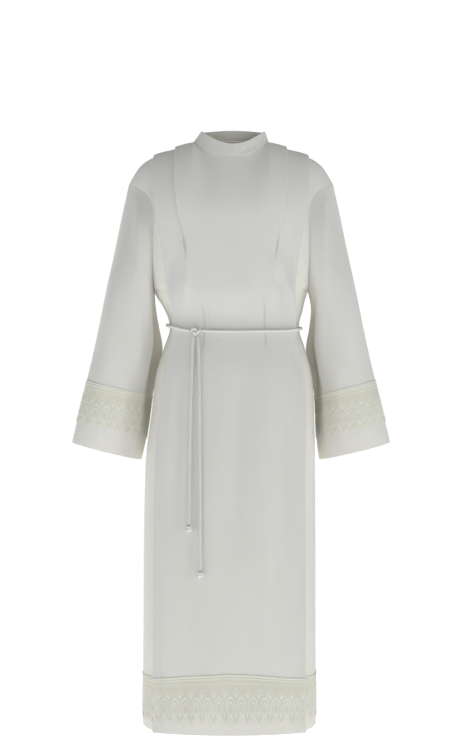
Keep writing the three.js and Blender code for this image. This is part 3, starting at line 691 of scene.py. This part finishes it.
BACK_CREASES = [
    crease([(-0.12, -0.2), (-0.112, -0.3), (-0.108, -0.42)], 0.011, -0.0045),
    crease([(0.116, -0.22), (0.108, -0.32), (0.098, -0.44)], 0.012, -0.004),
    crease([(-0.05, -0.28), (-0.056, -0.38), (-0.05, -0.46)], 0.012, -0.004),
    crease([(0.045, -0.32), (0.05, -0.4), (0.044, -0.47)], 0.01, -0.0045),
    crease([(0.0, -0.12), (0.008, -0.24), (0.0, -0.36)], 0.03, 0.0025),
    crease([(-0.09, -0.46), (-0.098, -0.64), (-0.104, -0.9), (-0.1, -1.12)], 0.018, -0.006),
    crease([(-0.045, -0.47), (-0.04, -0.68), (-0.034, -0.95), (-0.04, -1.25)], 0.024, 0.006),
    crease([(0.008, -0.47), (0.012, -0.66), (0.004, -0.92), (0.01, -1.2)], 0.016, -0.0055),
    crease([(0.058, -0.47), (0.066, -0.7), (0.07, -1.0), (0.064, -1.3)], 0.024, 0.0055),
    crease([(0.108, -0.48), (0.118, -0.64), (0.12, -0.86), (0.116, -1.1)], 0.015, -0.005),
    crease([(-0.13, -1.1), (-0.128, -1.24), (-0.132, -1.41)], 0.017, 0.003),
    crease([(0.036, -1.15), (0.03, -1.26), (0.034, -1.41)], 0.016, -0.0035),
    crease([(0.13, -1.12), (0.134, -1.25), (0.13, -1.41)], 0.014, -0.0035),
]

OVER_SHOULDER_ROWS = 60
BELOW_LEVELS = np.linspace(ARMHOLE["under_z"], HEM_Z, 121)[1:]
panel_kinds, panel_shares = half_columns(chest=20, beside=12, between=12, side=20)


def creased_panel(face, kinds, shares, angle, level):
    points, stacked = whole_panel(face, kinds, shares, angle, level)
    creases = FRONT_CREASES if face == FRONT else BACK_CREASES
    heights = crease_heights(points[..., 0], points[..., 2], creases)
    all_kinds, all_shares = mirrored(kinds, shares)
    turning = np.where(all_kinds == SIDE, np.clip(1 - all_shares / FLAT_PAST_SIDE, 0, 1), 1)
    under_seam = np.clip((FLAT_AT_SEAM["level"] - level) / FLAT_AT_SEAM["within"], 0, 1)
    return points + stacked * (heights * turning * under_seam)[..., None], stacked


def painted_backlight_marks(kinds, shares, level):
    """Where light coming through the cloth from behind is painted into the colour as a paler cream: the
    tucks and the sides of the body.
    """
    all_kinds, all_shares = mirrored(kinds, shares)
    past_edge = np.clip((all_shares - TUCK_SHADE["from"]) / TUCK_SHADE["within"], 0, 1)
    tuck_one = np.where(all_kinds == PLEAT_ONE, past_edge, 0) * read(PLEATS, "level", "inner", level) ** 3
    tuck_two = np.where(all_kinds == PLEAT_TWO, past_edge, 0)
    fading = np.clip(SIDE_SHADE["from"] - all_shares * SIDE_SHADE["slope"], 0, 1)
    side = np.where(all_kinds == SIDE, fading, 0)
    down = np.clip((SHADE_BELOW["level"] - level) / SHADE_BELOW["within"], 0, 1)
    return np.maximum(np.maximum(tuck_one, tuck_two), side) * down


panel_angle, panel_level = body_rows(OVER_SHOULDER_ROWS, BELOW_LEVELS)
panel_points, panels = {}, {}
for face, name in ((FRONT, "front_panel_cloth"), (BACK, "back_panel_cloth")):
    points, _ = creased_panel(face, panel_kinds, panel_shares, panel_angle, panel_level)
    panel_points[face] = points
    order = points if face == FRONT else points[:, ::-1]
    # painted light: the shade mark paints light through the cloth as a paler cream
    shade = painted_backlight_marks(panel_kinds, panel_shares, panel_level)
    panels[face] = thicken(grid_mesh(name, order, marks={"shade": shade}), CLOTH, inner_material=True)
print("front has", len(FRONT_CREASES), "creases and the back", len(BACK_CREASES))

# %% [markdown]
# A sleeve is a wide tube cut on a slant: its outer line runs down from the shoulder and its
# inner line from the underarm. Each section swings the cloth out in front and behind between
# those two lines, and near the armhole it is drawn in so that the seam follows the body's edge.

# %% Sleeves
SLEEVE_CREASES = [
    # beside the fold that falls from the sleeve head, and along the inner edge
    crease([(0.222, -0.08), (0.218, -0.18), (0.222, -0.3)], 0.009, -0.0045),
    crease([(0.236, -0.14), (0.24, -0.26), (0.246, -0.4)], 0.013, 0.0035),
    crease([(0.266, -0.26), (0.28, -0.4), (0.288, -0.52)], 0.018, -0.003),
    crease([(0.21, -0.34), (0.214, -0.46), (0.218, -0.58)], 0.010, -0.003),
    crease([(0.31, -0.44), (0.322, -0.54), (0.336, -0.66)], 0.016, 0.0028),
    crease([(0.246, -0.5), (0.256, -0.62), (0.262, -0.75)], 0.015, -0.0028),
    crease([(0.3, -0.6), (0.306, -0.68), (0.312, -0.75)], 0.014, -0.0022),
]
SLEEVE_ROWS = 128
SLEEVE_COLUMNS = 168
SLEEVE_START, SLEEVE_END = 0.02, 8
BEHIND_OFFSET = (0.012, -0.03)
CREASES_SETTLE = {"from": 0.3, "within": 1.0}
FOLD_SHADE = {"from": 0.45, "within": 0.12}
BACK_SHADE_WITHIN = 0.7
SLEEVE_SHADE_BELOW = {"level": -0.2, "within": 0.15}
INNER_FOLD = table(("turn", "across", "depth"), [
    (0, 0, 0), (0.2, 0.11, -0.057), (0.4, 0.27, -0.11), (0.6, 1, -0.013),
    (0.8, 0.94, 0.108), (0.9, 0.54, 0.064), (1, 0, 0),
])
FOLD_STARTS = math.radians(120)
FULL_FOLD = 0.016


def past_fold(angles):
    """How far round the sleeve's inner fold a point lies: 0 before it and 1 on the inner line."""
    return np.clip((angles - FOLD_STARTS) / (np.pi - FOLD_STARTS), 0, 1) * (angles <= np.pi)


def sleeve_points(sections, angles, side):
    values = {name: read(SLEEVE, "section", name, sections) for name in SLEEVE}
    turn = past_fold(angles)
    fold_across = read(INNER_FOLD, "turn", "across", turn) * values["fold"]
    fold_depth = read(INNER_FOLD, "turn", "depth", turn) * values["fold"] / FULL_FOLD
    to_outer = (1 + np.cos(angles)) / 2
    reach = np.where(np.sin(angles) >= 0, values["front"], values["back"])
    line = {k: values["inner_" + k] + (values["outer_" + k] - values["inner_" + k]) * to_outer for k in "yz"}
    drawn = to_outer + (to_outer ** ARMHOLE["tip_pull"] - to_outer) * values["pull"]
    across = values["inner_x"] + (values["outer_x"] - values["inner_x"]) * drawn + fold_across
    beside = values["follow"] * (1 - to_outer) * read(WIDTHS, "level", "shift", values["inner_z"])
    x = side * across + beside
    depth = (np.sin(angles) - fold_depth) * reach
    return np.stack(np.broadcast_arrays(x, line["y"] - depth, line["z"]), axis=-1)


def creased_sleeve(sections, angles, side):
    points = sleeve_points(sections, angles, side)
    outward = grid_normals(points, loops=True) * side
    front = np.clip(np.sin(angles) * 3, 0, 1)
    back = np.clip(-np.sin(angles) * 3, 0, 1)
    mirror_x = points[..., 0] * side
    facing = crease_heights(mirror_x, points[..., 2], SLEEVE_CREASES) * front
    behind_x, behind_z = mirror_x + BEHIND_OFFSET[0], points[..., 2] + BEHIND_OFFSET[1]
    hidden = crease_heights(behind_x, behind_z, SLEEVE_CREASES) * back
    settle = np.clip((sections - CREASES_SETTLE["from"]) / CREASES_SETTLE["within"], 0, 1)
    return points + outward * ((facing + hidden) * settle)[..., None], outward


sleeve_shares = np.linspace(0, 1, SLEEVE_ROWS)[:, None]
sleeve_sections = SLEEVE_START + (SLEEVE_END - SLEEVE_START) * sleeve_shares
sleeve_angles = np.linspace(0, 2 * np.pi, SLEEVE_COLUMNS, endpoint=False)[None, :]
sleeve_grid, sleeves = {}, {}
for side, name in ((1, "sleeve_left_cloth"), (-1, "sleeve_right_cloth")):
    points, outward = creased_sleeve(sleeve_sections, sleeve_angles, side)
    sleeve_grid[side] = points
    # Painted light: behind the inner fold and round the back the colour turns paler cream, standing for
    # light through the cloth.
    behind_fold = smooth_step((past_fold(sleeve_angles) - FOLD_SHADE["from"]) / FOLD_SHADE["within"])
    round_back = np.clip(1 - (sleeve_angles - np.pi) / BACK_SHADE_WITHIN, 0, 1) * (sleeve_angles > np.pi)
    low = np.clip((SLEEVE_SHADE_BELOW["level"] - points[..., 2]) / SLEEVE_SHADE_BELOW["within"], 0, 1)
    shade = np.maximum(behind_fold, round_back) * low
    order = points if side < 0 else points[:, ::-1]
    piece = grid_mesh(name, order, loops=True, marks={"shade": shade if side < 0 else shade[:, ::-1]})
    sleeves[side] = thicken(piece, CLOTH, inner_material=True)
print("each sleeve has", len(SLEEVE_CREASES), "creases in front and behind")

# %% [markdown]
# The stand collar is a narrow band on the neck seam, a little closer round the neck at its top
# than at its foot. It has soft slanting creases where it bends round the throat.

# %% Collar
COLLAR_ROWS = 20
COLLAR_COLUMNS = 220
COLLAR_LIFT = 0.00045
COLLAR_SETTLES = 0.3
COLLAR_CREASES = [
    crease([(0.024, -0.05), (0.033, -0.03), (0.043, -0.012)], 0.006, -0.0022),
    crease([(0.046, -0.036), (0.055, -0.018), (0.062, -0.002)], 0.005, -0.0018),
    crease([(-0.03, -0.046), (-0.04, -0.028), (-0.046, -0.012)], 0.007, -0.0014),
    crease([(0.004, -0.052), (0.008, -0.034), (0.01, -0.02)], 0.009, 0.0014),
    crease([(-0.06, -0.03), (-0.066, -0.01), (-0.07, 0.008)], 0.006, -0.0014),
]


def neck_loop(loop, angle):
    facing = np.cos(angle)
    front = facing >= 0
    depth = np.where(front, -loop["front"], loop["back"]) * np.abs(facing)
    rise = np.where(front, -loop["front_dip"], loop["back_rise"]) * facing**2
    x = loop["shift"] + loop["half_width"] * np.sin(angle)
    return np.stack(np.broadcast_arrays(x, depth, loop["side_z"] + rise), axis=-1)


def collar_points():
    angle = np.linspace(0, 2 * np.pi, COLLAR_COLUMNS, endpoint=False)[None, :]
    share = np.linspace(0, 1, COLLAR_ROWS)[:, None, None]
    low = neck_loop(NECK, angle) + np.array([0, 0, COLLAR_LIFT])
    points = low + (neck_loop(COLLAR_TOP, angle) - low) * share
    outward = facing_out(points, grid_normals(points, loops=True))
    heights = crease_heights(points[..., 0], points[..., 2], COLLAR_CREASES) * (points[..., 1] < 0)
    heights = heights * np.clip(share[..., 0] / COLLAR_SETTLES, 0, 1)
    return points + outward * heights[..., None]


collar_grid = collar_points()
collar = grid_mesh("collar_cloth", collar_grid, loops=True, marks={"shade": np.zeros((1, 1))})
thicken(collar, CLOTH, inner_material=True)
print("collar stands", round((COLLAR_TOP["side_z"] - NECK["side_z"]) * 1000), "mm high at its side")

# %% [markdown]
# The lace is a straight machine-made edging with a repeat of about 26 mm: a cord along the
# top, a net with small zigzags, a row of pointed arches with fans in them, nested ovals, and a
# zigzag scalloped edge. Its cords stand proud of the net. A height is worked out for each point
# of a fine grid from the distance to each cord's line, so the cords are real relief.

# %% Lace pattern
LACE_HEIGHT = 0.121
NET_DROP = 0.00015
LACE_LEVELS = {
    "top_cord": 0.002, "second_cord": 0.0085, "ripple": 0.0165, "arch": 0.033,
    "fan": 0.047, "drop": 0.0905, "notch": 0.0955,
}
LEVEL_ONLY = (1, 1, 0)
OVALS = [(0.0104, 0.0215, 0.073), (0.0052, 0.0135, 0.076)]
CORD_HALF = 0.0015
CORD_RISE = 0.0008


def cord_bump(distance, half_width=CORD_HALF):
    return np.clip(1 - np.abs(distance) / half_width, 0, 1) ** 0.6


def zigzag(u, pitch, top, bottom):
    """Level of a pointed scallop line at u. Its points are down."""
    phase = np.abs((u / pitch) % 1 - 0.5) * 2
    return bottom + (top - bottom) * phase


def lace_scallop(u, pitch):
    """Height of the lace at u: full at a point, less between two points."""
    return zigzag(u, pitch, LACE_LEVELS["notch"], LACE_HEIGHT)


def lace_cords(u, v, pitch):
    """1 on a cord and 0 on the net. u runs along the edging and v down it, in metres."""
    phase = ((u / pitch) % 1 - 0.5) * pitch
    shifted = ((u / pitch + 0.5) % 1 - 0.5) * pitch
    cords = [cord_bump(v - LACE_LEVELS["top_cord"], 0.0022), cord_bump(v - LACE_LEVELS["second_cord"])]
    small = pitch / 2
    ripple = LACE_LEVELS["ripple"] + 0.0032 * np.abs(np.sin(np.pi * u / small))
    cords.append(0.7 * cord_bump(v - ripple))
    arch = LACE_LEVELS["arch"] + 0.024 * (np.abs(phase) / (pitch / 2)) ** 1.6
    cords.append(cord_bump((v - arch) * 0.7))
    for lean in (-0.55, 0.0, 0.55):
        petal_x = phase - lean * (0.053 - v) * 0.55
        petal = np.hypot(petal_x / 0.0014, (v - LACE_LEVELS["fan"]) / 0.0062)
        cords.append(np.clip(1.25 - petal, 0, 1) ** 0.5)
    for wide, tall, level in OVALS:
        ring = np.hypot(shifted / wide, (v - level) / tall)
        cords.append(cord_bump((ring - 1) * wide * 1.1))
    edge = lace_scallop(u, pitch)
    for back, strength in ((0.0014, 1.0), (0.0082, 0.9)):
        cords.append(strength * cord_bump((v - edge + back) * 0.5))
    drop = np.hypot(phase / 0.002, (v - LACE_LEVELS["drop"]) / 0.0075)
    cords.append(np.clip(1.2 - drop, 0, 1) ** 0.5)
    return np.max(np.stack(np.broadcast_arrays(*cords)), axis=0)


def lace_piece(name, points, pitch, loops=False):
    """A lace band on a grid of points that already lies clear of the cloth."""
    outward = facing_out(points, grid_normals(points, loops), LEVEL_ONLY)
    across = distances_along(points, 1).mean(axis=0)[None, :]
    reach = lace_scallop(across, pitch) / LACE_HEIGHT
    shares = np.linspace(0, 1, len(points))[:, None] * reach
    rows = shares * (len(points) - 1)
    low = np.clip(np.floor(rows).astype(int), 0, len(points) - 2)
    part = (rows - low)[..., None]
    column = np.broadcast_to(np.arange(points.shape[1])[None, :], low.shape)
    fitted = points[low, column] * (1 - part) + points[low + 1, column] * part
    normal = outward[low, column]
    v = shares * LACE_HEIGHT
    cords = lace_cords(across, v, pitch)
    raised = fitted + normal * (CORD_RISE * cords - NET_DROP)[..., None]
    return grid_mesh(name, raised, loops=loops, marks={"cord": cords})


sample = lace_cords(np.linspace(0, 0.026, 100)[None, :], np.linspace(0, 0.12, 400)[:, None], 0.026)
print("cords cover", round(float((sample > 0.5).mean()), 2), "of the lace")

# %% [markdown]
# A lace band lies on the outside of its panel, so it is sampled from the same surface with
# the same creases and moved out by half the cloth and a small lift. Its grid is finer than the
# cloth's, because its cords are only about 3 mm wide.

# %% Hem lace
LACE_MIDDLE = CLOTH / 2 + LACE_LIFT + LACE / 2
LACE_TOP_LEVEL = -1.25
LACE_TIP_LEVEL = -1.371
HEM_PITCH = 0.0263
HEM_LACE_ROWS = 78


def resample_across(points, count):
    """The same rows with columns spread evenly along each row's length."""
    along = distances_along(points, 1).mean(axis=0)
    stations = np.linspace(0, along[-1], count)
    spread = [[np.interp(stations, along, row[:, k]) for k in range(3)] for row in points]
    return np.array(spread).transpose(0, 2, 1)


def hem_lace(face, name, columns=430):
    level = np.linspace(LACE_TOP_LEVEL, LACE_TIP_LEVEL, HEM_LACE_ROWS)[:, None]
    angle = np.full_like(level, np.pi)
    points, _ = creased_panel(face, panel_kinds, panel_shares, angle, level)
    lifted = points + facing_out(points, grid_normals(points)) * LACE_MIDDLE
    even = resample_across(lifted, columns)
    order = even if face == FRONT else even[:, ::-1]
    return thicken(lace_piece(name, order, HEM_PITCH), LACE), even


lace_pieces, lace_grids = {}, {}
for face, name in ((FRONT, "front_hem_lace"), (BACK, "back_hem_lace")):
    lace_pieces[name], lace_grids[name] = hem_lace(face, name)
print("hem lace repeats every", HEM_PITCH * 1000, "mm")

# %% [markdown]
# Each cuff has the same edging all the way round. The number of repeats is rounded to a whole
# number, so the pattern meets itself where the band closes.

# %% Cuff lace
CUFF_TOP_SECTION, CUFF_TIP_SECTION = 6, 7
CUFF_PITCH = 0.025


def cuff_lace(side, name, columns=300, rows=70):
    sections = np.linspace(CUFF_TOP_SECTION, CUFF_TIP_SECTION, rows)[:, None]
    angles = np.linspace(0, 2 * np.pi, columns, endpoint=False)[None, :]
    points, outward = creased_sleeve(sections, angles, side)
    lifted = points + facing_out(points, outward, LEVEL_ONLY) * LACE_MIDDLE
    girth = float(np.linalg.norm(np.roll(lifted, -1, axis=1) - lifted, axis=-1).sum(axis=1).mean())
    repeats = round(girth / CUFF_PITCH)
    order = lifted if side < 0 else lifted[:, ::-1]
    piece = lace_piece(name, order, girth / repeats, loops=True)
    print(name, "girth", round(girth, 3), "m,", repeats, "repeats")
    return thicken(piece, LACE), lifted


for side, name in ((1, "left_cuff_lace"), (-1, "right_cuff_lace")):
    lace_pieces[name], lace_grids[name] = cuff_lace(side, name)

# %% [markdown]
# The cloth is a white wool and polyester crepe: matt, with a faint sheen at grazing angles and a fine
# weave that shows only close up. Where light reaches it through the cloth behind, in the pleats' tucks,
# along the sides and inside the sleeves, that light is painted into the colour as a paler cream where a
# mark on the mesh says so, and the inner face has a paler cream colour that paints the same light.

# %% Cloth materials
SHEEN_ROUGHNESS = 0.4
THREAD_UNEVENNESS = 0.4
DRIFT_DETAIL = 3
SPECULAR = 0.25
LIGHT_DEPTH = 0.003
LIGHT_REACH = (1.0, 0.93, 0.8)
WAVE_SCALE = 0.3142


def new_material(name, roughness, sheen):
    material = bpy.data.materials.new(name)
    material.use_nodes = True
    shader = material.node_tree.nodes["Principled BSDF"]
    shader.inputs["Roughness"].default_value = roughness
    shader.inputs["Sheen Weight"].default_value = sheen
    shader.inputs["Sheen Roughness"].default_value = SHEEN_ROUGHNESS
    shader.inputs["Specular IOR Level"].default_value = SPECULAR
    return material, material.node_tree, shader


def let_light_through(shader, weight):
    """Scatters light inside the thin wall, so that some of it comes out on the other side."""
    shader.inputs["Subsurface Weight"].default_value = weight
    shader.inputs["Subsurface Scale"].default_value = LIGHT_DEPTH
    shader.inputs["Subsurface Radius"].default_value = LIGHT_REACH


def link(tree, source, output, target, entry):
    tree.links.new(source.outputs[output], target.inputs[entry])


def mapped(tree, scale, space):
    coordinates = tree.nodes.new("ShaderNodeTexCoord")
    mapping = tree.nodes.new("ShaderNodeMapping")
    mapping.inputs["Scale"].default_value = scale
    link(tree, coordinates, space, mapping, "Vector")
    return mapping


def woven_bump(tree, shader, threads_per_metre, distance, strength):
    """A plain weave: one wave for the warp, one for the weft, added together."""
    total = None
    for direction in ("X", "Y"):
        mapping = mapped(tree, (threads_per_metre, threads_per_metre, 1), "UV")
        wave = tree.nodes.new("ShaderNodeTexWave")
        wave.bands_direction = direction
        wave.inputs["Scale"].default_value = WAVE_SCALE
        wave.inputs["Distortion"].default_value = THREAD_UNEVENNESS
        link(tree, mapping, "Vector", wave, "Vector")
        if total is None:
            total = wave
        else:
            both = tree.nodes.new("ShaderNodeMath")
            both.operation = "ADD"
            link(tree, total, "Fac", both, 0)
            link(tree, wave, "Fac", both, 1)
            total = both
    bump = tree.nodes.new("ShaderNodeBump")
    bump.inputs["Distance"].default_value = distance
    bump.inputs["Strength"].default_value = strength
    link(tree, total, "Value", bump, "Height")
    link(tree, bump, "Normal", shader, "Normal")


def varied_colour(tree, first, second, scale):
    """A slow drift between two close colours, as dyed or washed cloth has."""
    mapping = mapped(tree, (1, 1, 1), "Object")
    noise = tree.nodes.new("ShaderNodeTexNoise")
    noise.inputs["Scale"].default_value = scale
    noise.inputs["Detail"].default_value = DRIFT_DETAIL
    link(tree, mapping, "Vector", noise, "Vector")
    mix = tree.nodes.new("ShaderNodeMix")
    mix.data_type = "RGBA"
    mix.inputs[6].default_value = (*first, 1)
    mix.inputs[7].default_value = (*second, 1)
    link(tree, noise, "Fac", mix, "Factor")
    return mix


def marked_colour(tree, base, mark, colour):
    """Turns the base colour into another one where a mark on the mesh says so."""
    attribute = tree.nodes.new("ShaderNodeAttribute")
    attribute.attribute_name = mark
    mix = tree.nodes.new("ShaderNodeMix")
    mix.data_type = "RGBA"
    mix.inputs[7].default_value = (*colour, 1)
    tree.links.new(base.outputs[2], mix.inputs[6])
    tree.links.new(attribute.outputs["Fac"], mix.inputs["Factor"])
    return mix


WHITE_CLOTH = ((0.79, 0.785, 0.735), (0.83, 0.825, 0.78))
# Painted light: a paler cream for the light coming through the cloth from behind, laid where the shade mark
# says.
PAINTED_BACKLIGHT_CREAM = (0.95, 0.91, 0.80)
# Painted light: the inner faces are the same cloth, coloured paler and creamier to stand for light coming
# through.
INNER_PAINTED_BACKLIGHT = ((0.93, 0.91, 0.84), (0.96, 0.94, 0.88))


def finish(name, roughness, sheen, colours, drift, weave, through=0.0, mark=None):
    """A drift between two colours, with a weave and perhaps a mark that makes it paler."""
    material, tree, shader = new_material(name, roughness, sheen)
    let_light_through(shader, through)
    colour = varied_colour(tree, *colours, drift)
    if mark is not None:
        colour = marked_colour(tree, colour, *mark)
    tree.links.new(colour.outputs[2], shader.inputs["Base Color"])
    woven_bump(tree, shader, *weave)
    return material


CREPE_WEAVE = (1400, 0.00012, 0.5)
cloth_outside = finish(
    "white_crepe", 0.82, 0.18, WHITE_CLOTH, 5.0, CREPE_WEAVE, 0.5, ("shade", PAINTED_BACKLIGHT_CREAM)
)
cloth_inside_painted_backlight = finish("white_crepe_inside_painted_backlight", 0.88, 0.12, INNER_PAINTED_BACKLIGHT, 5.0, CREPE_WEAVE, 0.5)
cloth_pieces = [*panels.values(), *sleeves.values(), collar]
for piece in cloth_pieces:
    piece.data.materials.append(cloth_outside)
    piece.data.materials.append(cloth_inside_painted_backlight)
print("cloth finish on", len(cloth_pieces), "pieces")

# %% [markdown]
# Lace is cotton thread on a net, a little yellower than the cloth. The net is a fine mesh of
# its own, far smaller than the cords, so it is bump in the finish, and the cords are lighter
# than the net because their threads are packed closer.

# %% Lace and rope materials
LACE_NET = ((0.80, 0.79, 0.66), (0.84, 0.83, 0.70))
LACE_CORD = (0.96, 0.955, 0.85)
ROPE_WHITE = ((0.86, 0.865, 0.87), (0.92, 0.925, 0.93))
lace_material = finish(
    "cream_lace", 0.9, 0.15, LACE_NET, 60.0, (620, 0.0003, 0.35), 0.35, ("cord", LACE_CORD)
)
rope_material = finish("white_twisted_rope", 0.55, 0.3, ROPE_WHITE, 120.0, (1600, 0.00015, 0.7))
for piece in lace_pieces.values():
    piece.data.materials.append(lace_material)
rope_pieces = [waist_rope, long_rope, short_rope, waist_knot, long_knot, short_knot]
for piece in rope_pieces:
    piece.data.materials.append(rope_material)
print("lace finish on", len(lace_pieces), "bands, rope finish on", len(rope_pieces), "pieces")

# %% [markdown]
# The studio is plain: a pale floor that runs out of sight and glows a little, a white
# surround, a large soft light on the wearer's left, a weaker one on the right, a low one in
# front, one above, and one behind for the back. The surround looks white to the camera but
# lights the cloth gently, so that its folds keep their shading.

# %% Floor and light
FLOOR_Z = -1.52
FLOOR_SIZE = 60
FLOOR_GREY = (0.72, 0.72, 0.72, 1)
FLOOR_GLOW = 0.92
WHITE_SURROUND = (1, 1, 1, 1)
SURROUND_SEEN = 1.05
SURROUND_TINT = (0.96, 0.98, 1.0, 1)
SURROUND_LIGHT = 0.18
LIGHTS_AIM = (0, 0, -0.65)


def add_floor():
    bpy.ops.mesh.primitive_plane_add(size=FLOOR_SIZE, location=(0, 0, FLOOR_Z))
    floor = bpy.context.active_object
    floor.name = "studio_floor"
    material = bpy.data.materials.new("pale_floor")
    material.use_nodes = True
    shader = material.node_tree.nodes["Principled BSDF"]
    shader.inputs["Base Color"].default_value = FLOOR_GREY
    shader.inputs["Roughness"].default_value = 0.9
    shader.inputs["Specular IOR Level"].default_value = 0.0
    shader.inputs["Emission Color"].default_value = WHITE_SURROUND
    shader.inputs["Emission Strength"].default_value = FLOOR_GLOW
    floor.data.materials.append(material)


def add_world():
    world = bpy.data.worlds.new("studio")
    world.use_nodes = True
    bpy.context.scene.world = world
    tree = world.node_tree
    lit = tree.nodes["Background"]
    lit.inputs["Color"].default_value = SURROUND_TINT
    lit.inputs["Strength"].default_value = SURROUND_LIGHT
    seen = tree.nodes.new("ShaderNodeBackground")
    seen.inputs["Color"].default_value = WHITE_SURROUND
    seen.inputs["Strength"].default_value = SURROUND_SEEN
    path = tree.nodes.new("ShaderNodeLightPath")
    mix = tree.nodes.new("ShaderNodeMixShader")
    tree.links.new(path.outputs["Is Camera Ray"], mix.inputs[0])
    tree.links.new(lit.outputs[0], mix.inputs[1])
    tree.links.new(seen.outputs[0], mix.inputs[2])
    tree.links.new(mix.outputs[0], tree.nodes["World Output"].inputs["Surface"])


def add_soft_light(name, place, size, energy, colour):
    data = bpy.data.lights.new(name, "AREA")
    data.shape = "RECTANGLE"
    data.size, data.size_y = size
    data.energy = energy
    data.color = colour
    light = bpy.data.objects.new(name, data)
    light.location = place
    aim = np.array(LIGHTS_AIM) - np.array(place)
    light.rotation_euler = Vector(aim).to_track_quat("-Z", "Y").to_euler()
    bpy.context.scene.collection.objects.link(light)
    return light


WHITE, COOL, WARM = (1, 1, 1), (0.97, 0.98, 1.0), (1.0, 0.98, 0.95)
LIGHTS = [
    ("key_light", (3.4, -1.9, 0.5), (0.9, 1.8), 19, WHITE),
    ("fill_light", (-3.4, -2.2, 0.1), (1.2, 2.4), 9, COOL),
    ("back_light", (-1.6, 2.8, 0.4), (2.0, 2.0), 42, WARM),
    ("top_light", (0.2, -0.6, 2.6), (2.0, 1.4), 12, WHITE),
    ("front_light", (0.3, -3.9, -1.1), (1.8, 0.7), 9, WHITE),
]
add_floor()
add_world()
for row in LIGHTS:
    light = add_soft_light(*row)
    light.visible_camera = light.name != "back_light"
bpy.context.scene.view_settings.view_transform = "Standard"
print("floor at", FLOOR_Z, "m,", len(LIGHTS), "soft lights")

# %% [markdown]
# Every piece rides on the garment's one body and takes the place of its plain solid.
# The table also lists each piece's finish slot, which the loop does not use.

def stand_for(piece, node):
    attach(piece, "root")
    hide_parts(node)


STANDS = [
    (panels[FRONT], "front_panel", "cloth"),
    (panels[BACK], "back_panel", "cloth"),
    (sleeves[1], "sleeve_left", "cloth"),
    (sleeves[-1], "sleeve_right", "cloth"),
    (collar, "collar", "cloth"),
    (lace_pieces["front_hem_lace"], "lace_hem_front", "lace"),
    (lace_pieces["back_hem_lace"], "lace_hem_back", "lace"),
    (lace_pieces["left_cuff_lace"], "lace_cuff_left", "lace"),
    (lace_pieces["right_cuff_lace"], "lace_cuff_right", "lace"),
    (waist_rope, "cincture_waist", "rope"),
    (long_rope, "cincture_end_long", "rope"),
    (short_rope, "cincture_end_short", "rope"),
    (waist_knot, "cincture_knot", "rope"),
    (long_knot, "cincture_end_knot_long", "rope"),
    (short_knot, "cincture_end_knot_short", "rope"),
]
for piece, node, slot in STANDS:
    stand_for(piece, node)
